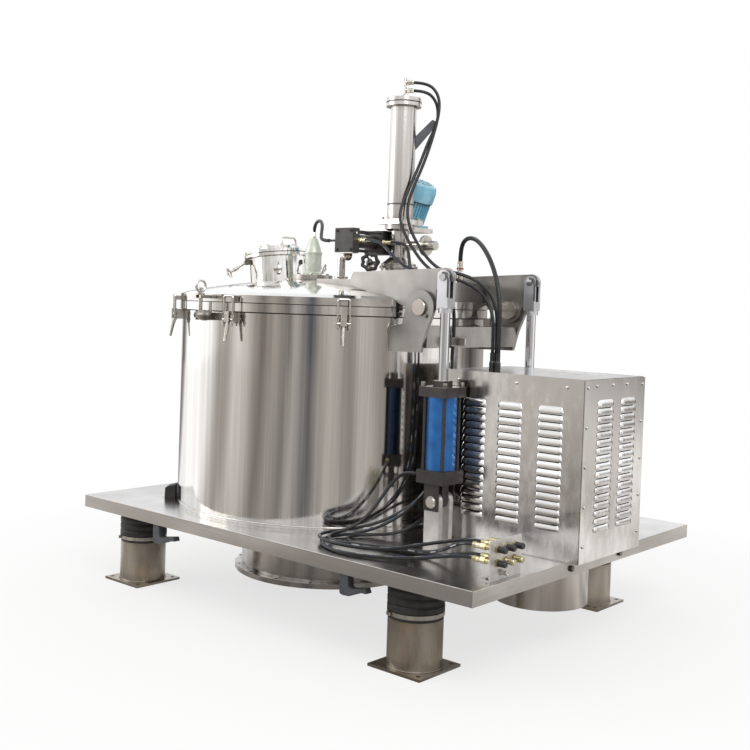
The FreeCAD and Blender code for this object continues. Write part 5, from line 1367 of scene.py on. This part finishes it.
# %% Build the studio
floor_size = 40.0
ground = bpy.data.meshes.new("studio_floor")
half = floor_size / 2
ground.from_pydata([(-half, -half, 0), (half, -half, 0), (half, half, 0), (-half, half, 0)], [],
                   [(0, 1, 2, 3)])
floor = bpy.data.objects.new("studio_floor", ground)
bpy.context.scene.collection.objects.link(floor)
pale, tree, skin = new_material("pale_floor")
skin.inputs["Base Color"].default_value = linear("#EDECEA")
skin.inputs["Roughness"].default_value = 0.8
seen = add(tree, "ShaderNodeLightPath")
white = add(tree, "ShaderNodeEmission", Color=(1, 1, 1, 1), Strength=1.0)
here = add(tree, "ShaderNodeTexCoord").outputs["Object"]
wall_ring = ((0.0, "#8A8683"), (0.03, "#4E4B4A"), (0.05, "#D5D3D2"), (0.072, "#45423F"), (0.095, "#8F8B88"),
             (0.115, "#FFFFFF"), (0.22, "#FFFFFF"), (0.25, "#BEBAB6"), (0.275, "#A9A4A0"), (0.30, "#D0CCC9"),
             (0.335, "#B4AFAA"), (0.36, "#77716D"), (0.385, "#A09A95"), (0.415, "#6A6563"), (0.43, "#B0ABA7"),
             (0.462, "#4B4D58"), (0.48, "#A39E99"), (0.515, "#AAA5A0"), (0.54, "#7D7874"), (0.56, "#BCB7B3"),
             (0.61, "#8C8682"), (0.65, "#BDB8B4"), (0.675, "#F4F2F1"), (0.70, "#B1ACA8"), (0.725, "#FBFAF9"),
             (0.75, "#BDB8B4"), (0.78, "#F0EEED"), (0.81, "#807B77"), (0.85, "#454240"), (0.92, "#9D9894"),
             (1.0, "#8A8683"))


def compass(tree, vector, shift=(0, 0, 0)):
    """The wall's shade in this direction: its angle from the camera's, turned into the ring."""
    moved = add(tree, "ShaderNodeMapping", {"Vector": vector}, Location=shift)
    turned = add(tree, "ShaderNodeMapping", {"Vector": moved.outputs[0]}, Rotation=(0, 0, math.radians(48.8)))
    ring = add(tree, "ShaderNodeTexGradient", {"Vector": turned.outputs[0]}, {"gradient_type": "RADIAL"})
    return shades(tree, ring.outputs["Fac"], wall_ring)


concrete = add(tree, "ShaderNodeMix", {7: compass(tree, here, (-casing_x, 0, 0))}, {"data_type": "RGBA"})
concrete.inputs[0].default_value = 0.8
concrete.inputs[6].default_value = linear("#A9A6A3")
from_middle = add(tree, "ShaderNodeVectorMath", {0: here}, {"operation": "LENGTH"}).outputs["Value"]
# The floor that glossy rays see is emission, dimmer within about 2.6 m of the middle: a painted shadow round
# the machine in reflections.
under = add(tree, "ShaderNodeEmission",
            {"Color": concrete.outputs[2], "Strength": between(tree, from_middle, 0.6, 1.42, 0.8, 2.6)})
fade = between(tree, from_middle, 0.72, 1.0, 1.5, 3.2)
view = add(tree, "ShaderNodeMath", {0: fade, 1: seen.outputs["Is Camera Ray"]}, {"operation": "MULTIPLY"})
plain_floor = add(tree, "ShaderNodeMixShader", {0: view.outputs[0], 1: skin.outputs[0], 2: white.outputs[0]})
blend = add(tree, "ShaderNodeMixShader",
            {0: seen.outputs["Is Glossy Ray"], 1: plain_floor.outputs[0], 2: under.outputs[0]})
tree.links.new(blend.outputs[0], tree.nodes["Material Output"].inputs["Surface"])
ground.materials.append(pale)

world = bpy.data.worlds.new("studio")
bpy.context.scene.world = world
world.use_nodes = True
tree = world.node_tree
tree.nodes.clear()
toward = add(tree, "ShaderNodeTexCoord").outputs["Generated"]
hall = compass(tree, toward)
height = add(tree, "ShaderNodeSeparateXYZ", {"Vector": toward}).outputs["Z"]
sky = add(tree, "ShaderNodeMix", {0: between(tree, height, 0.0, 0.92, 0.02, 0.2)}, {"data_type": "RGBA"})
tree.links.new(hall, sky.inputs[6])
sky.inputs[7].default_value = linear("#F6F9FD")
lit = add(tree, "ShaderNodeBackground", Color=(1, 1, 1, 1), Strength=0.68)
mirrored = add(tree, "ShaderNodeBackground", {"Color": sky.outputs[2]}, Strength=1.5)
plain = add(tree, "ShaderNodeBackground", Color=(1, 1, 1, 1), Strength=1.0)
path = add(tree, "ShaderNodeLightPath")
shine = add(tree, "ShaderNodeMixShader",
            {0: path.outputs["Is Glossy Ray"], 1: lit.outputs[0], 2: mirrored.outputs[0]})
whole = add(tree, "ShaderNodeMixShader",
            {0: path.outputs["Is Camera Ray"], 1: shine.outputs[0], 2: plain.outputs[0]})
add(tree, "ShaderNodeOutputWorld", {"Surface": whole.outputs[0]})


def soft_light(name, place, target, size, power):
    lamp = bpy.data.lights.new(name, "AREA")
    lamp.shape, lamp.size, lamp.energy = "SQUARE", size, power
    made = bpy.data.objects.new(name, lamp)
    made.location = place
    made.rotation_euler = (Vector(target) - Vector(place)).to_track_quat("-Z", "Y").to_euler()
    bpy.context.scene.collection.objects.link(made)
    return made


soft_light("key", (4.5, -3.0, 5.5), (0, 0, 1), 3.0, 190)
soft_light("fill", (-5.0, -4.5, 3.5), (0, 0, 1), 3.5, 110)
bpy.context.scene.view_settings.view_transform = "Standard"
print("studio ready")
